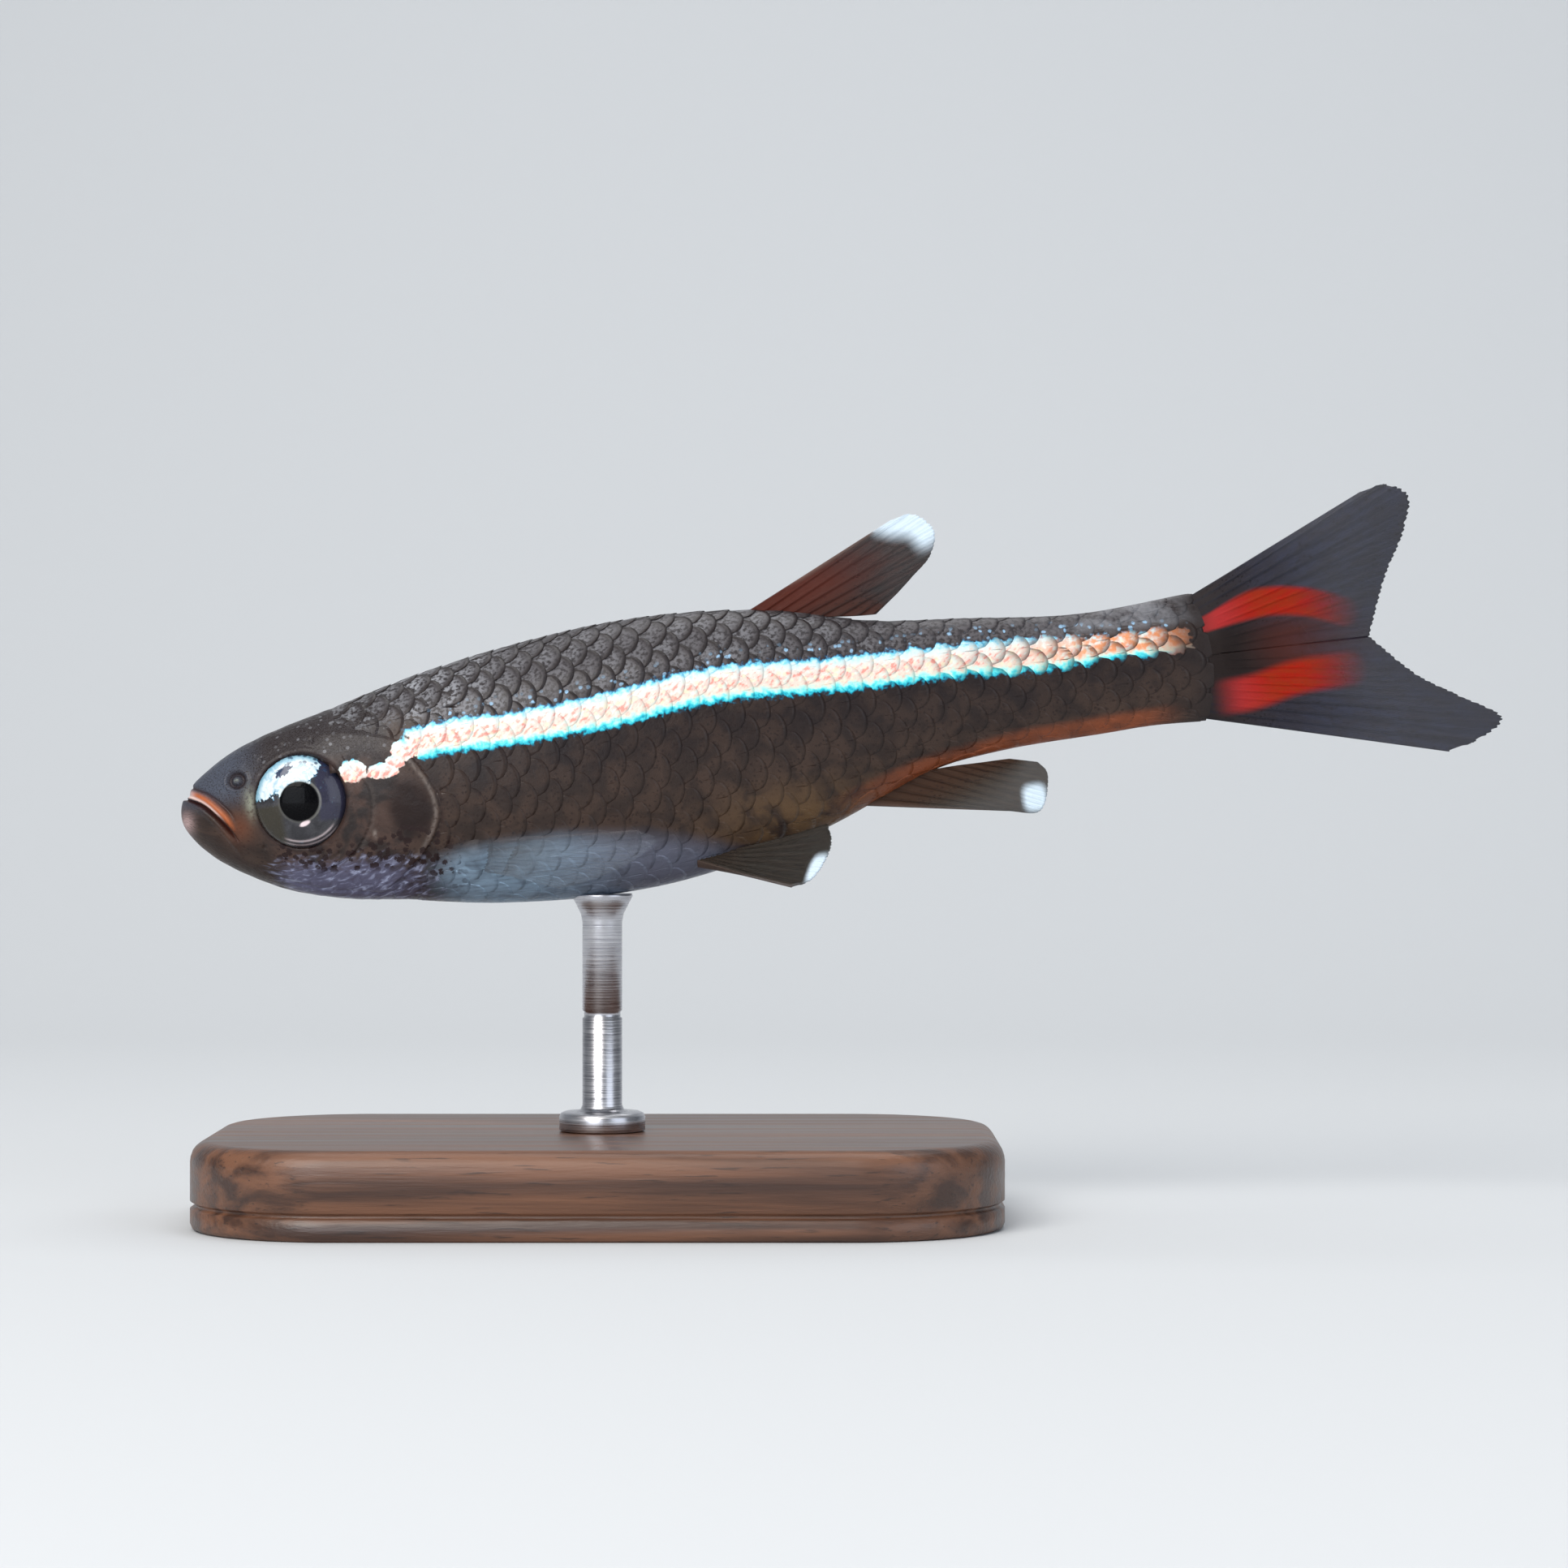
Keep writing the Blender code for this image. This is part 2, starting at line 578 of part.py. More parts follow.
def finish(piece, colour, parent=None):
    """Scales a piece to metres, hangs it on its parent and gives it its material."""
    piece.data.transform(Matrix.Scale(MM, 4))
    piece.location *= MM
    piece.parent = parent
    piece.data.materials.clear()
    piece.data.materials.append(new_material(colour))
    piece.data.shade_smooth()
    piece.data.set_sharp_from_angle(angle=math.radians(35))


def main():
    """Builds the fish on its empty, then the stand."""
    for old in list(bpy.data.objects):
        bpy.data.objects.remove(old)
    fish = bpy.data.objects.new("fish", None)
    bpy.context.scene.collection.objects.link(fish)
    fish.location = Vector(JAW_TIP) * MM
    fish.rotation_euler = (0, -PITCH, 0)
    for piece in (build_head(), build_lower_jaw(), build_trunk(), build_tail_stem()):
        finish(piece, "skin", fish)
    for fin in (build_dorsal_fin(), build_anal_fin(), *build_tail_fin()):
        finish(fin, "fin", fish)
    for side, hand in (("left", -1), ("right", 1)):
        finish(build_gill_cover(f"gill_cover_{side}", hand), "cover", fish)
        finish(eye_solid(f"eye_{side}", hand), "eye", fish)
        for pair, root, margin, rays in (
            ("pectoral", PECTORAL_ROOT, PECTORAL_MARGIN, PECTORAL_RAYS),
            ("pelvic", PELVIC_ROOT, PELVIC_MARGIN, PELVIC_RAYS),
        ):
            finish(build_paired_fin(f"{pair}_fin_{side}", hand, root, margin, rays), "fin", fish)
    finish(build_stand_base(), "wood")
    finish(build_stand_rod(), "steel")


main()
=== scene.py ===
"""Dresses the white cloud mountain minnow: skin, scales, eyes, fins, stand and studio.

Sizes are in millimetres. The fish is built in its own frame, along the body from the jaw tip,
to its right side, and up, and is then set head-down over the stand like the photo's fish.
"""

import logging
import math
from dataclasses import dataclass, field
from enum import Enum
from functools import cached_property, reduce
from typing import Callable

import bpy
import numpy as np
from mathutils import Matrix, Vector

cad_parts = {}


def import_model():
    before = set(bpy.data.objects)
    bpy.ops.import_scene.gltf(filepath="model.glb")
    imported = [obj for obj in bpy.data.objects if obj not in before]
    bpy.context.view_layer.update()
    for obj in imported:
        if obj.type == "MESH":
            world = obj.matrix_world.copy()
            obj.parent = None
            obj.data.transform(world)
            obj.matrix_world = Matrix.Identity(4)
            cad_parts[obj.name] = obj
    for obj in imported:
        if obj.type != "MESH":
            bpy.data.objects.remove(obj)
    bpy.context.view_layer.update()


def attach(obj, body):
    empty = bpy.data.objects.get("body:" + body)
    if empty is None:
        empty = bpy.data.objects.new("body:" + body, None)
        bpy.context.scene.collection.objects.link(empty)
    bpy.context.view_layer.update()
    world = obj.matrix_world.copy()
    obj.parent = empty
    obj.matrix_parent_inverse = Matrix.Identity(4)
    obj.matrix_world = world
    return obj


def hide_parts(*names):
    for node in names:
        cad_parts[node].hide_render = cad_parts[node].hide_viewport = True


log = logging.getLogger("minnow")

MM = 0.001
GAP = 0.3  # between one CAD solid and the next

Array = np.ndarray
Points = tuple[tuple[float, ...], ...]
Curve = Callable[[Array], Array]
Rgb = tuple[float, float, float]
Parts = list[Array | float]  # the parts of a vector at each point
Thing = bpy.types.Object
Material = bpy.types.Material
Socket = bpy.types.NodeSocket


class Slot(Enum):
    """The record's material slots."""

    SKIN = "skin"
    EYE = "eye"
    FIN = "fin"
    WOOD = "base_wood"
    STEEL = "rod_steel"


class Side(Enum):
    """A side of the fish, with the sign of its direction across the body."""

    LEFT = -1
    RIGHT = 1

    @property
    def label(self) -> str:
        """The side's name as it stands in a node's name."""
        return self.name.lower()


def smooth_curve(points: Points) -> Curve:
    """Runs a curve smoothly through places and their values.

    Args:
        points: Pairs of a place and the value there, by rising place.

    Returns:
        A function from places to values, level with its ends beyond them.
    """
    place, value = np.array(points, float).T
    slope = np.gradient(value, place)

    def at(where: Array) -> Array:
        """The values at these places.

        Args:
            where: The places.

        Returns:
            The curve's value at each.
        """
        where = np.clip(where, place[0], place[-1])
        i = np.clip(np.searchsorted(place, where) - 1, 0, len(place) - 2)
        step = place[i + 1] - place[i]
        t = (where - place[i]) / step
        start = (2 * t**3 - 3 * t**2 + 1) * value[i] + (t**3 - 2 * t**2 + t) * step * slope[i]
        end = (3 * t**2 - 2 * t**3) * value[i + 1] + (t**3 - t**2) * step * slope[i + 1]
        return start + end

    return at


def smooth_path(points: Points) -> Curve:
    """Runs a path smoothly through points.

    Args:
        points: The points, of two or three numbers each.

    Returns:
        A function from a share of the path's length, 0 to 1, to the point there.
    """
    spots = np.array(points, float)
    steps = np.linalg.norm(np.diff(spots, axis=0), axis=1)
    share = np.concatenate([[0], np.cumsum(steps)]) / steps.sum()
    axes = [smooth_curve(tuple(zip(share, column))) for column in spots.T]
    return lambda t: np.stack([axis(t) for axis in axes], axis=-1)


def root_curve(points: Points) -> Curve:
    """A curve that is smooth in the root of its place, which rounds the snout."""
    curve = smooth_curve(tuple((math.sqrt(place), value) for place, value in points))
    return lambda where: curve(np.sqrt(np.maximum(where, 0)))


def rise(low: float, high: float, value: Array) -> Array:
    """Goes smoothly from 0 at low to 1 at high."""
    t = np.clip((value - low) / (high - low), 0, 1)
    return t * t * (3 - 2 * t)


def hump(value: Array, middle: float, width: float) -> Array:
    """A smooth bump, 1 at the middle and faded out about two widths from it."""
    return np.exp(-(((value - middle) / width) ** 2))


def stacked(*parts: Array | float) -> Array:
    """Arrays and numbers of fitting shapes, set side by side as vectors."""
    return np.stack(np.broadcast_arrays(*parts), -1)


def rounded(across: Array, high: Array) -> Array:
    """A soft spot between round and square, about 1 in half its width and height."""
    return rise(1.3, 0.6, (np.abs(across) ** 3 + np.abs(high) ** 3) ** (1 / 3))


def off_line(line: Points, along: Array, up: Array, count: int = 60) -> Array:
    """How far points seen from the side lie from a line that runs downwards.

    Args:
        line: The line's points, (along, up).
        along: The points' places along the body.
        up: The points' heights.
        count: How many straight steps stand for the line.

    Returns:
        Distances, positive on the line's tail side.
    """
    spots = smooth_path(line)(np.linspace(0, 1, count))
    best = np.full(np.shape(along), np.inf)
    signed = best
    for (a0, u0), (a1, u1) in zip(spots[:-1], spots[1:]):
        da, du = a1 - a0, u1 - u0
        t = np.clip(((along - a0) * da + (up - u0) * du) / (da * da + du * du), 0, 1)
        away_a, away_u = along - a0 - t * da, up - u0 - t * du
        gap = np.hypot(away_a, away_u)
        nearer = gap < best
        best = np.where(nearer, gap, best)
        signed = np.where(nearer, gap * np.sign(away_u * da - away_a * du), signed)
    return signed


@dataclass(frozen=True)
class BodyShape:
    """The fish's body without its fins: profiles along it and the surface they give."""

    length: float = 31.0
    back_line: Points = (
        (0, -0.12), (0.35, 0.62), (0.95, 1.08), (1.9, 1.59), (3.1, 1.98), (4.7, 2.36), (6.2, 2.72),
        (8.0, 3.12), (10.8, 3.54), (13.9, 3.77), (17.0, 3.63), (18.6, 3.4), (21.7, 2.62),
        (24.0, 2.36), (27.9, 1.97), (31.0, 2.1),
    )
    belly_line: Points = (
        (0, -0.2), (0.35, -1.02), (0.95, -1.64), (1.9, -2.3), (3.1, -2.92), (4.7, -3.38),
        (6.2, -3.64), (9.3, -4.19), (12.6, -4.41), (14.7, -4.31), (17.0, -3.92), (19.4, -3.31),
        (21.1, -2.68), (22.9, -2.06), (24.6, -1.85), (27.9, -1.78), (29.5, -1.76), (31.0, -1.86),
    )
    waist_line: Points = (
        (0, -0.16), (1.9, -0.25), (3.6, -0.2), (8.0, -0.1), (14.0, 0.0), (22.0, 0.2), (31.0, 0.12),
    )
    width_line: Points = (
        (0, 0.05), (0.35, 0.6), (0.95, 1.0), (1.9, 1.36), (3.1, 1.66), (4.7, 1.93), (6.2, 2.12),
        (8.0, 2.27), (10.8, 2.36), (13.9, 2.26), (17.0, 1.98), (21.1, 1.42), (24.6, 1.02),
        (27.9, 0.74), (31.0, 0.42),
    )
    full_above: Points = ((0, 2.0), (3.0, 2.5), (6.2, 2.3), (10.0, 2.05), (31.0, 2.0))
    full_below: Points = (
        (0, 2.0), (3.0, 1.85), (6.2, 1.95), (10.0, 2.25), (16.0, 2.2), (22.0, 1.9), (31.0, 2.0),
    )
    tail_bulge: float = 0.35
    tail_bulge_from: float = 28.0

    def back(self, along: Array) -> Array:
        """The height of the back."""
        return root_curve(self.back_line)(along)

    def belly(self, along: Array) -> Array:
        """The height of the belly."""
        return root_curve(self.belly_line)(along)

    def waist(self, along: Array) -> Array:
        """The height where the body is widest."""
        return root_curve(self.waist_line)(along)

    def half_width(self, along: Array) -> Array:
        """Half the body's width at the waist."""
        return root_curve(self.width_line)(along)

    def section(self, along: Array, above: Array) -> tuple[Array, Array, Array]:
        """What one half of a section across the body looks like.

        Args:
            along: Places along the body.
            above: Whether it's the half above the waist.

        Returns:
            The waist's height, the half's height and its fullness.
        """
        middle = self.waist(along)
        height = np.where(above, self.back(along) - middle, middle - self.belly(along))
        fullness = np.where(above, smooth_curve(self.full_above)(along), smooth_curve(self.full_below)(along))
        return middle, height, fullness

    def surface(self, along: Array, turn: Array) -> Array:
        """The body's surface.

        Args:
            along: Places along the body.
            turn: Turns round it from the back over the left side, where half a turn is the belly.

        Returns:
            Points as (along, side, up).
        """
        middle, height, fullness = self.section(along, np.cos(turn) > 0)
        up = np.sign(np.cos(turn)) * np.abs(np.cos(turn)) ** (2 / fullness)
        out = np.sign(np.sin(turn)) * np.abs(np.sin(turn)) ** (2 / fullness)
        end = np.clip((along - self.tail_bulge_from) / (self.length - self.tail_bulge_from), 0, 1)
        place = along + self.tail_bulge * end * (1 - up**2)
        return stacked(place, -self.half_width(along) * out, middle + height * up)

    def side_at(self, along: Array, up: Array) -> Array:
        """Half the body's width at a point seen from the side.

        Args:
            along: Places along the body.
            up: Heights.

        Returns:
            The half-widths there.
        """
        middle, height, fullness = self.section(along, up > self.waist(along))
        share = np.clip(np.abs(up - middle) / height, 0, 1)
        return self.half_width(along) * (1 - share**fullness) ** (1 / fullness)

    def normal(self, along: Array, turn: Array) -> Array:
        """The direction straight out of the surface, found from near points on it.

        Args:
            along: Places along the body.
            turn: Turns round it.

        Returns:
            Directions of length 1.
        """
        step = 0.004
        ahead = self.surface(along + step, turn) - self.surface(np.maximum(along - step, 0), turn)
        round_it = self.surface(along, turn + step) - self.surface(along, turn - step)
        out = np.cross(round_it, ahead)
        return out / np.maximum(np.linalg.norm(out, axis=-1, keepdims=True), 1e-12)


@dataclass(frozen=True)
class FishPose:
    """Where the fish hangs in the world, head down."""

    jaw_tip: tuple[float, float, float] = (-19.92, 0.0, 12.25)
    pitch: float = math.radians(8.41)

    def matrix(self) -> Matrix:
        """The change from the fish's frame to the world, both in millimetres."""
        return Matrix.Translation(self.jaw_tip) @ Matrix.Rotation(-self.pitch, 4, "Y")

    def place(self, points: Array) -> Array:
        """Points of the fish's frame, in the world."""
        matrix = np.array(self.matrix())
        return points @ matrix[:3, :3].T + matrix[:3, 3]


def tiles(rows: int, columns: int, wrap: bool = False) -> Array:
    """The four-cornered faces of a grid of points that are numbered row by row.

    Args:
        rows: How many rows of points.
        columns: How many points in a row.
        wrap: Whether each row is a ring.

    Returns:
        Faces as rows of four point numbers.
    """
    i = np.arange(rows - 1)[:, None]
    j = np.arange(columns if wrap else columns - 1)[None, :]
    k = (j + 1) % columns
    corners = [i * columns + j, i * columns + k, (i + 1) * columns + k, (i + 1) * columns + j]
    return stacked(*corners).reshape(-1, 4)


def rim_wall(rows: int, columns: int) -> Array:
    """The wall round a thin sheet's rim, between an upper grid of points and the under one after it.

    Args:
        rows: How many rows of points a grid has.
        columns: How many points a row has.

    Returns:
        Faces as rows of four point numbers.
    """
    count = rows * columns
    rim = np.concatenate([
        np.arange(columns), columns * np.arange(1, rows) + columns - 1,
        count - 2 - np.arange(columns - 1), columns * np.arange(rows - 2, 0, -1),
    ])
    after = np.roll(rim, -1)
    return stacked(after + count, rim + count, rim, after)


def closed_rings(rows: int, sides: int) -> tuple[Array, Array]:
    """The faces of rings of points in a row, closed at both ends by a point each.

    Args:
        rows: How many rings.
        sides: How many points in a ring. The first ring's end point comes after all of them, and
            the last ring's after that.

    Returns:
        The four-cornered faces and the three-cornered ones.
    """
    ring = np.arange(sides)
    after, last, end = np.roll(ring, -1), (rows - 1) * sides, rows * sides
    caps = [stacked(after, ring, end), stacked(last + ring, last + after, end + 1)]
    return tiles(rows, sides, wrap=True), np.concatenate(caps)


@dataclass
class Piece:
    """A mesh in the making, in world millimetres, with the values its finish reads."""

    name: str
    points: Array
    quads: Array
    triangles: Array = field(default_factory=lambda: np.zeros((0, 3), int))
    values: dict[str, Array] = field(default_factory=dict)
    bake_map: Array | None = None
    crisp: Array | None = None  # which four-cornered faces aren't shaded smoothly

    def build(self, slot: Slot, replaced: tuple[str, ...], material: Material) -> Thing:
        """Makes the object, dresses it and hangs it on the frame.

        Args:
            slot: Not used.
            replaced: The CAD nodes it stands for.
            material: Its material.

        Returns:
            The new object.
        """
        mesh = bpy.data.meshes.new(self.name)
        corners = np.concatenate([self.quads.ravel(), self.triangles.ravel()]).astype(np.int32)
        starts = np.concatenate([
            np.arange(len(self.quads)) * 4,
            self.quads.size + np.arange(len(self.triangles)) * 3,
        ]).astype(np.int32)
        mesh.vertices.add(len(self.points))
        mesh.vertices.foreach_set("co", (self.points * MM).astype(np.float32).ravel())
        mesh.loops.add(len(corners))
        mesh.polygons.add(len(starts))
        mesh.polygons.foreach_set("loop_start", starts)
        mesh.polygons.foreach_set("vertices", corners)
        smooth = np.ones(len(starts), bool)
        if self.crisp is not None:
            smooth[:len(self.crisp)] = ~self.crisp
        mesh.polygons.foreach_set("use_smooth", smooth)
        mesh.update(calc_edges=True)
        for label, numbers in self.values.items():
            layer = mesh.attributes.new(label, "FLOAT_VECTOR", "POINT")
            layer.data.foreach_set("vector", numbers.astype(np.float32).ravel())
        if self.bake_map is not None:
            layer = mesh.uv_layers.new(name="OFBake")
            layer.uv.foreach_set("vector", self.bake_map[corners].astype(np.float32).ravel())
        mesh.materials.append(material)
        made = bpy.data.objects.new(self.name, mesh)
        bpy.context.scene.collection.objects.link(made)
        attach(made, "root")
        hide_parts(*replaced)
        log.info("%s: %d points, %d faces", self.name, len(self.points), len(starts))
        return made


@dataclass(frozen=True)
class ArcMap:
    """Lays the body's side out flat, in rows that run along with the bright stripe."""

    body: BodyShape
    stripe_middle: Curve
    first: float = 4.0
    overshoot: float = 0.8  # turns past the back and the belly that plates there may reach
    stations: int = 271
    steps: int = 360
    reach: float = 9.0  # the farthest arc in the table the other way round
    arc_steps: int = 721

    @cached_property
    def table(self) -> tuple[Array, Array, Array]:
        """The measured body.

        Returns:
            The stations, the turns, and at each pair the arc up from the stripe's middle.
        """
        stations = np.linspace(self.first, self.body.length, self.stations)
        turns = np.linspace(-self.overshoot, math.pi + self.overshoot, self.steps)
        skin = self.body.surface(stations[:, None], turns[None, :])
        steps = np.linalg.norm(np.diff(skin, axis=1), axis=-1)
        arcs = np.concatenate([np.zeros((self.stations, 1)), np.cumsum(steps, axis=1)], axis=1)
        half = (turns > 0) & (turns < math.pi)
        for row, station in enumerate(stations):
            zero = np.interp(-self.stripe_middle(station), -skin[row, half, 2], arcs[row, half])
            arcs[row] = zero - arcs[row]
        return stations, turns, arcs

    @cached_property
    def levels(self) -> tuple[Array, Array]:
        """The measured body the other way round.

        Returns:
            Even arcs, and the turn round the body at each of them and each station.
        """
        _, turns, arcs = self.table
        even = np.linspace(-self.reach, self.reach, self.arc_steps)
        return even, np.stack([np.interp(even, row[::-1], turns[::-1]) for row in arcs])

    def look_up(self, along: Array, columns: Array, where: Array, grid: Array) -> Array:
        """Reads a table at places between its entries.

        Args:
            along: Places along the body, which choose the table's rows.
            columns: What the table's columns stand for, evenly spaced.
            where: Places among the columns.
            grid: The table.

        Returns:
            The values read.
        """
        stations = self.table[0]
        down = np.clip((along - stations[0]) / (stations[1] - stations[0]), 0, len(stations) - 1.001)
        over = np.clip((where - columns[0]) / (columns[1] - columns[0]), 0, len(columns) - 1.001)
        i, j = down.astype(int), over.astype(int)
        f, g = down - i, over - j
        near = grid[i, j] * (1 - g) + grid[i, j + 1] * g
        far = grid[i + 1, j] * (1 - g) + grid[i + 1, j + 1] * g
        return near * (1 - f) + far * f

    def arc(self, along: Array, turn: Array) -> Array:
        """The arc up from the stripe's middle at points of the surface."""
        return self.look_up(along, self.table[1], turn, self.table[2])

    def turn(self, along: Array, arc: Array) -> Array:
        """The turn round the body at arcs up from the stripe's middle."""
        return self.look_up(along, self.levels[0], arc, self.levels[1])


@dataclass(frozen=True)
class Markings:
    """Where the fish's colours lie on its side, shared by the skin and the scales."""

    stripe_middle_line: Points = (
        (5.0, 0.75), (7.0, 0.9), (8.5, 1.02), (10.5, 0.98), (13.5, 1.12), (15.5, 1.35), (17.5, 1.38),
        (19.5, 1.22), (21.5, 1.13), (23.5, 1.09), (25.5, 0.95), (27.5, 0.83), (29.5, 0.76), (31.0, 0.68),
    )
    stripe_width_line: Points = (
        (6.5, 1.0), (8.5, 1.1), (10.5, 1.08), (13.5, 1.16), (16.5, 1.18), (19.5, 1.16), (23.5, 1.14),
        (26.5, 1.14), (27.5, 0.96), (28.5, 0.76), (29.5, 0.88), (30.7, 0.6),
    )
    stripe_front: Points = ((7.0, 1.7), (7.09, 1.38), (7.47, 0.31), (7.6, 0.0))
    stripe_end: float = 30.75
    blobs: Points = (  # bright spots ahead of the stripe, as (along, up, half length, half height)
        (5.5, 0.4, 0.4, 0.36), (6.4, 0.3, 0.5, 0.24), (6.8, 0.5, 0.3, 0.22), (7.05, 0.8, 0.36, 0.34),
    )
    belly_silver: Points = (
        (6.4, -2.7), (8.4, -2.45), (11.38, -2.4), (14.0, -2.75), (15.8, -3.3), (16.8, -3.7),
    )
    vent_line: Points = (
        (16.2, -3.0), (17.4, -2.95), (19.9, -2.35), (22.2, -1.72), (25.4, -1.3), (29.8, -1.2),
    )
    gill_edge: Points = (
        (5.9, 4.0), (6.25, 2.6), (6.85, 1.3), (7.35, 0.5), (7.85, -0.5), (7.9, -1.2), (7.5, -2.0),
        (6.5, -2.85), (5.6, -3.4), (4.6, -4.4),
    )
    mouth: Points = (
        (-0.9, 0.82), (0.3, 0.33), (0.75, 0.1), (1.2, -0.35), (1.62, -0.95), (1.95, -1.5), (2.5, -3.6),
    )
    mouth_corner: float = 1.72
    cheek_edge: Points = ((5.35, 0.7), (5.9, -0.2), (5.75, -1.2), (5.1, -2.0), (4.0, -2.45))
    jaw_edge: Points = ((1.5, -1.6), (2.3, -2.1), (3.6, -2.75), (5.2, -3.15), (6.2, -3.35))
    eye: tuple[float, float] = (3.81, -0.24)
    nostril: tuple[float, float] = (1.94, 0.66)
    cheek_dark: tuple[float, float] = (7.05, -0.9)
    # pale spots: the one before the eye is pale skin, the one at the jaw's tip is pale skin with a painted
    # glint, the one on the lower cheek is a painted glint
    pale_spots: Points = (  # of the head, as (along, up, stretch along, stretch up, size, share)
        (2.3, -0.1, 0.42, 1.0, 0.42, 0.8), (0.16, -0.4, 1.0, 1.3, 0.24, 0.75),
        (5.87, -1.53, 0.6, 1.0, 0.11, 0.9),
    )
    dot_band: Points = ((3.2, -1.65), (4.7, -2.1), (6.05, -2.1), (6.5, -2.0), (7.9, -2.6), (8.5, -2.9))

    def stripe_middle(self, along: Array) -> Array:
        """The height of the bright stripe's middle."""
        return smooth_curve(self.stripe_middle_line)(along)

    def stripe(self, along: Array, arc: Array, up: Array) -> tuple[Array, Array]:
        """The bright stripe.

        Args:
            along: Places along the body.
            arc: Arcs up from the stripe's middle.
            up: Heights.

        Returns:
            The share of the way across it, from below, and how far the stripe shows, 0 to 1.
        """
        across = 0.5 + arc / smooth_curve(self.stripe_width_line)(along)
        shows = rise(-0.05, 0.2, off_line(self.stripe_front, along, up, 12))
        shows = shows * rise(self.stripe_end, self.stripe_end - 0.3, along)
        for place, height, long, high in self.blobs:
            spot = rise(1.25, 0.75, np.hypot((along - place) / long, (up - height) / high))
            across = np.where(spot > shows, 0.66 + 0.24 * (up - height) / high, across)
            shows = np.maximum(shows, spot)
        return across, shows

    def flank(self, along: Array, up: Array, arc: Array, behind: Array) -> Parts:
        """The dark back, the silver belly and the amber patch over the vent.

        Args:
            along: Places along the body.
            up: Heights.
            arc: Arcs up from the stripe's middle.
            behind: How far behind the gill cover, 0 to 1.

        Returns:
            The three values.
        """
        front = rise(8.4, 6.6, along)
        back = rise(0.0, 1.0, (arc - 0.35 - 0.1 * front) / (0.4 + 0.8 * front))
        top = np.interp(along, *np.array(self.belly_silver).T)
        silver = rise(0.35, -0.6, up - top) * rise(6.8, 8.6, along) * rise(18.6, 15.2, along) * behind
        return [back, silver, hump(along, 18.6, 2.6) * rise(-1.3, -2.9, up) * (1 - silver)]

    def head(self, along: Array, up: Array, behind: Array) -> Parts:
        """The parts of the head that have colours of their own.

        Args:
            along: Places along the body.
            up: Heights.
            behind: How far behind the gill cover, 0 to 1.

        Returns:
            The values of cheek, snout and throat.
        """
        cheek = rise(1.15, 0.8, np.hypot((along - 5.0) / 2.6, (up + 0.9) / 1.75)) * (1 - behind)
        snout = rise(3.1, 1.6, along) * rise(-0.4, 0.5, up)
        throat = rise(-1.65, -2.6, up + 0.1 * (along - 4.5)) * rise(8.4, 5.6, along) * rise(1.9, 3.4, along)
        return [cheek, snout, throat]

    def lips(self, along: Array, up: Array) -> Parts:
        """The mouth.

        Args:
            along: Places along the body.
            up: Heights.

        Returns:
            The values of lips, of the painted shade in the mouth's slit and in the groove above the upper
            lip, and of the painted shine between them.
        """
        mouth = off_line(self.mouth, along, up)
        jaws = rise(self.mouth_corner + 0.12, self.mouth_corner - 0.25, along)
        corner = hump(np.hypot(along - self.mouth_corner - 0.1, up + 0.75), 0.0, 0.42)
        lip = np.maximum(hump(mouth, 0.18, 0.1) * jaws * rise(0.1, 0.5, along), 0.2 * corner)
        # painted shade in the mouth's slit and in the groove above the upper lip
        seam = np.maximum(hump(mouth, -0.03, 0.055) * jaws, 0.7 * hump(mouth, 0.36, 0.05) * jaws)
        # the last value is a painted shine along the upper lip
        return [lip, seam, hump(mouth, 0.09, 0.045) * jaws * rise(1.5, 1.1, along)]

    def lines(self, along: Array, up: Array, gill: Array) -> Parts:
        """The fine lines and spots of the head.

        Args:
            along: Places along the body.
            up: Heights.
            gill: Distances from the gill cover's edge.

        Returns:
            The values of pale lines and spots, some of which are painted glints; of painted shade in the
            creases under the gill cover's edge, along the jaw's edge, in the nostril's pit and round the
            eye's socket; and of dark specks.
        """
        nose = np.hypot((along - self.nostril[0]) / 1.1, up - self.nostril[1])
        cheek = 0.12 * hump(off_line(self.cheek_edge, along, up), 0.08, 0.08)
        cover = 0.5 * hump(gill, -0.12, 0.06) * rise(-2.7, -1.7, up) * rise(0.9, 0.4, up)
        pale = np.maximum(cheek * rise(-2.5, -2.1, up) * rise(0.8, 0.4, up), cover)
        # a painted glint on the nostril's flap
        pale = np.maximum(pale, 0.6 * hump(nose, 0.0, 0.06))
        for place, height, long, high, size, share in self.pale_spots:
            spot = np.hypot((along - place) / long, (up - height) / high)
            pale = np.maximum(pale, share * hump(spot, 0.0, size))
        from_eye = np.hypot(along - self.eye[0], (up - self.eye[1]) / 1.04)
        # painted shade under the gill cover's edge and along the jaw's edge
        dark = np.maximum(hump(gill, 0.06, 0.07), 0.8 * hump(off_line(self.jaw_edge, along, up), 0.0, 0.06))
        dark = 0.6 * dark * rise(1.6, 1.0, up) * rise(-3.0, -2.0, up)
        # painted shade in the nostril's pit and round the eye's socket
        dark = np.maximum(dark, np.maximum(0.95 * hump(nose, 0.2, 0.085), 0.6 * hump(from_eye, 1.42, 0.06)))
        band = np.abs(off_line(self.dot_band, along, up, 20))
        specks = rise(0.75, 0.35, band / (0.8 + 0.5 * rise(5.8, 7.0, along))) * rise(8.7, 7.7, along)
        return [pale, dark, specks]

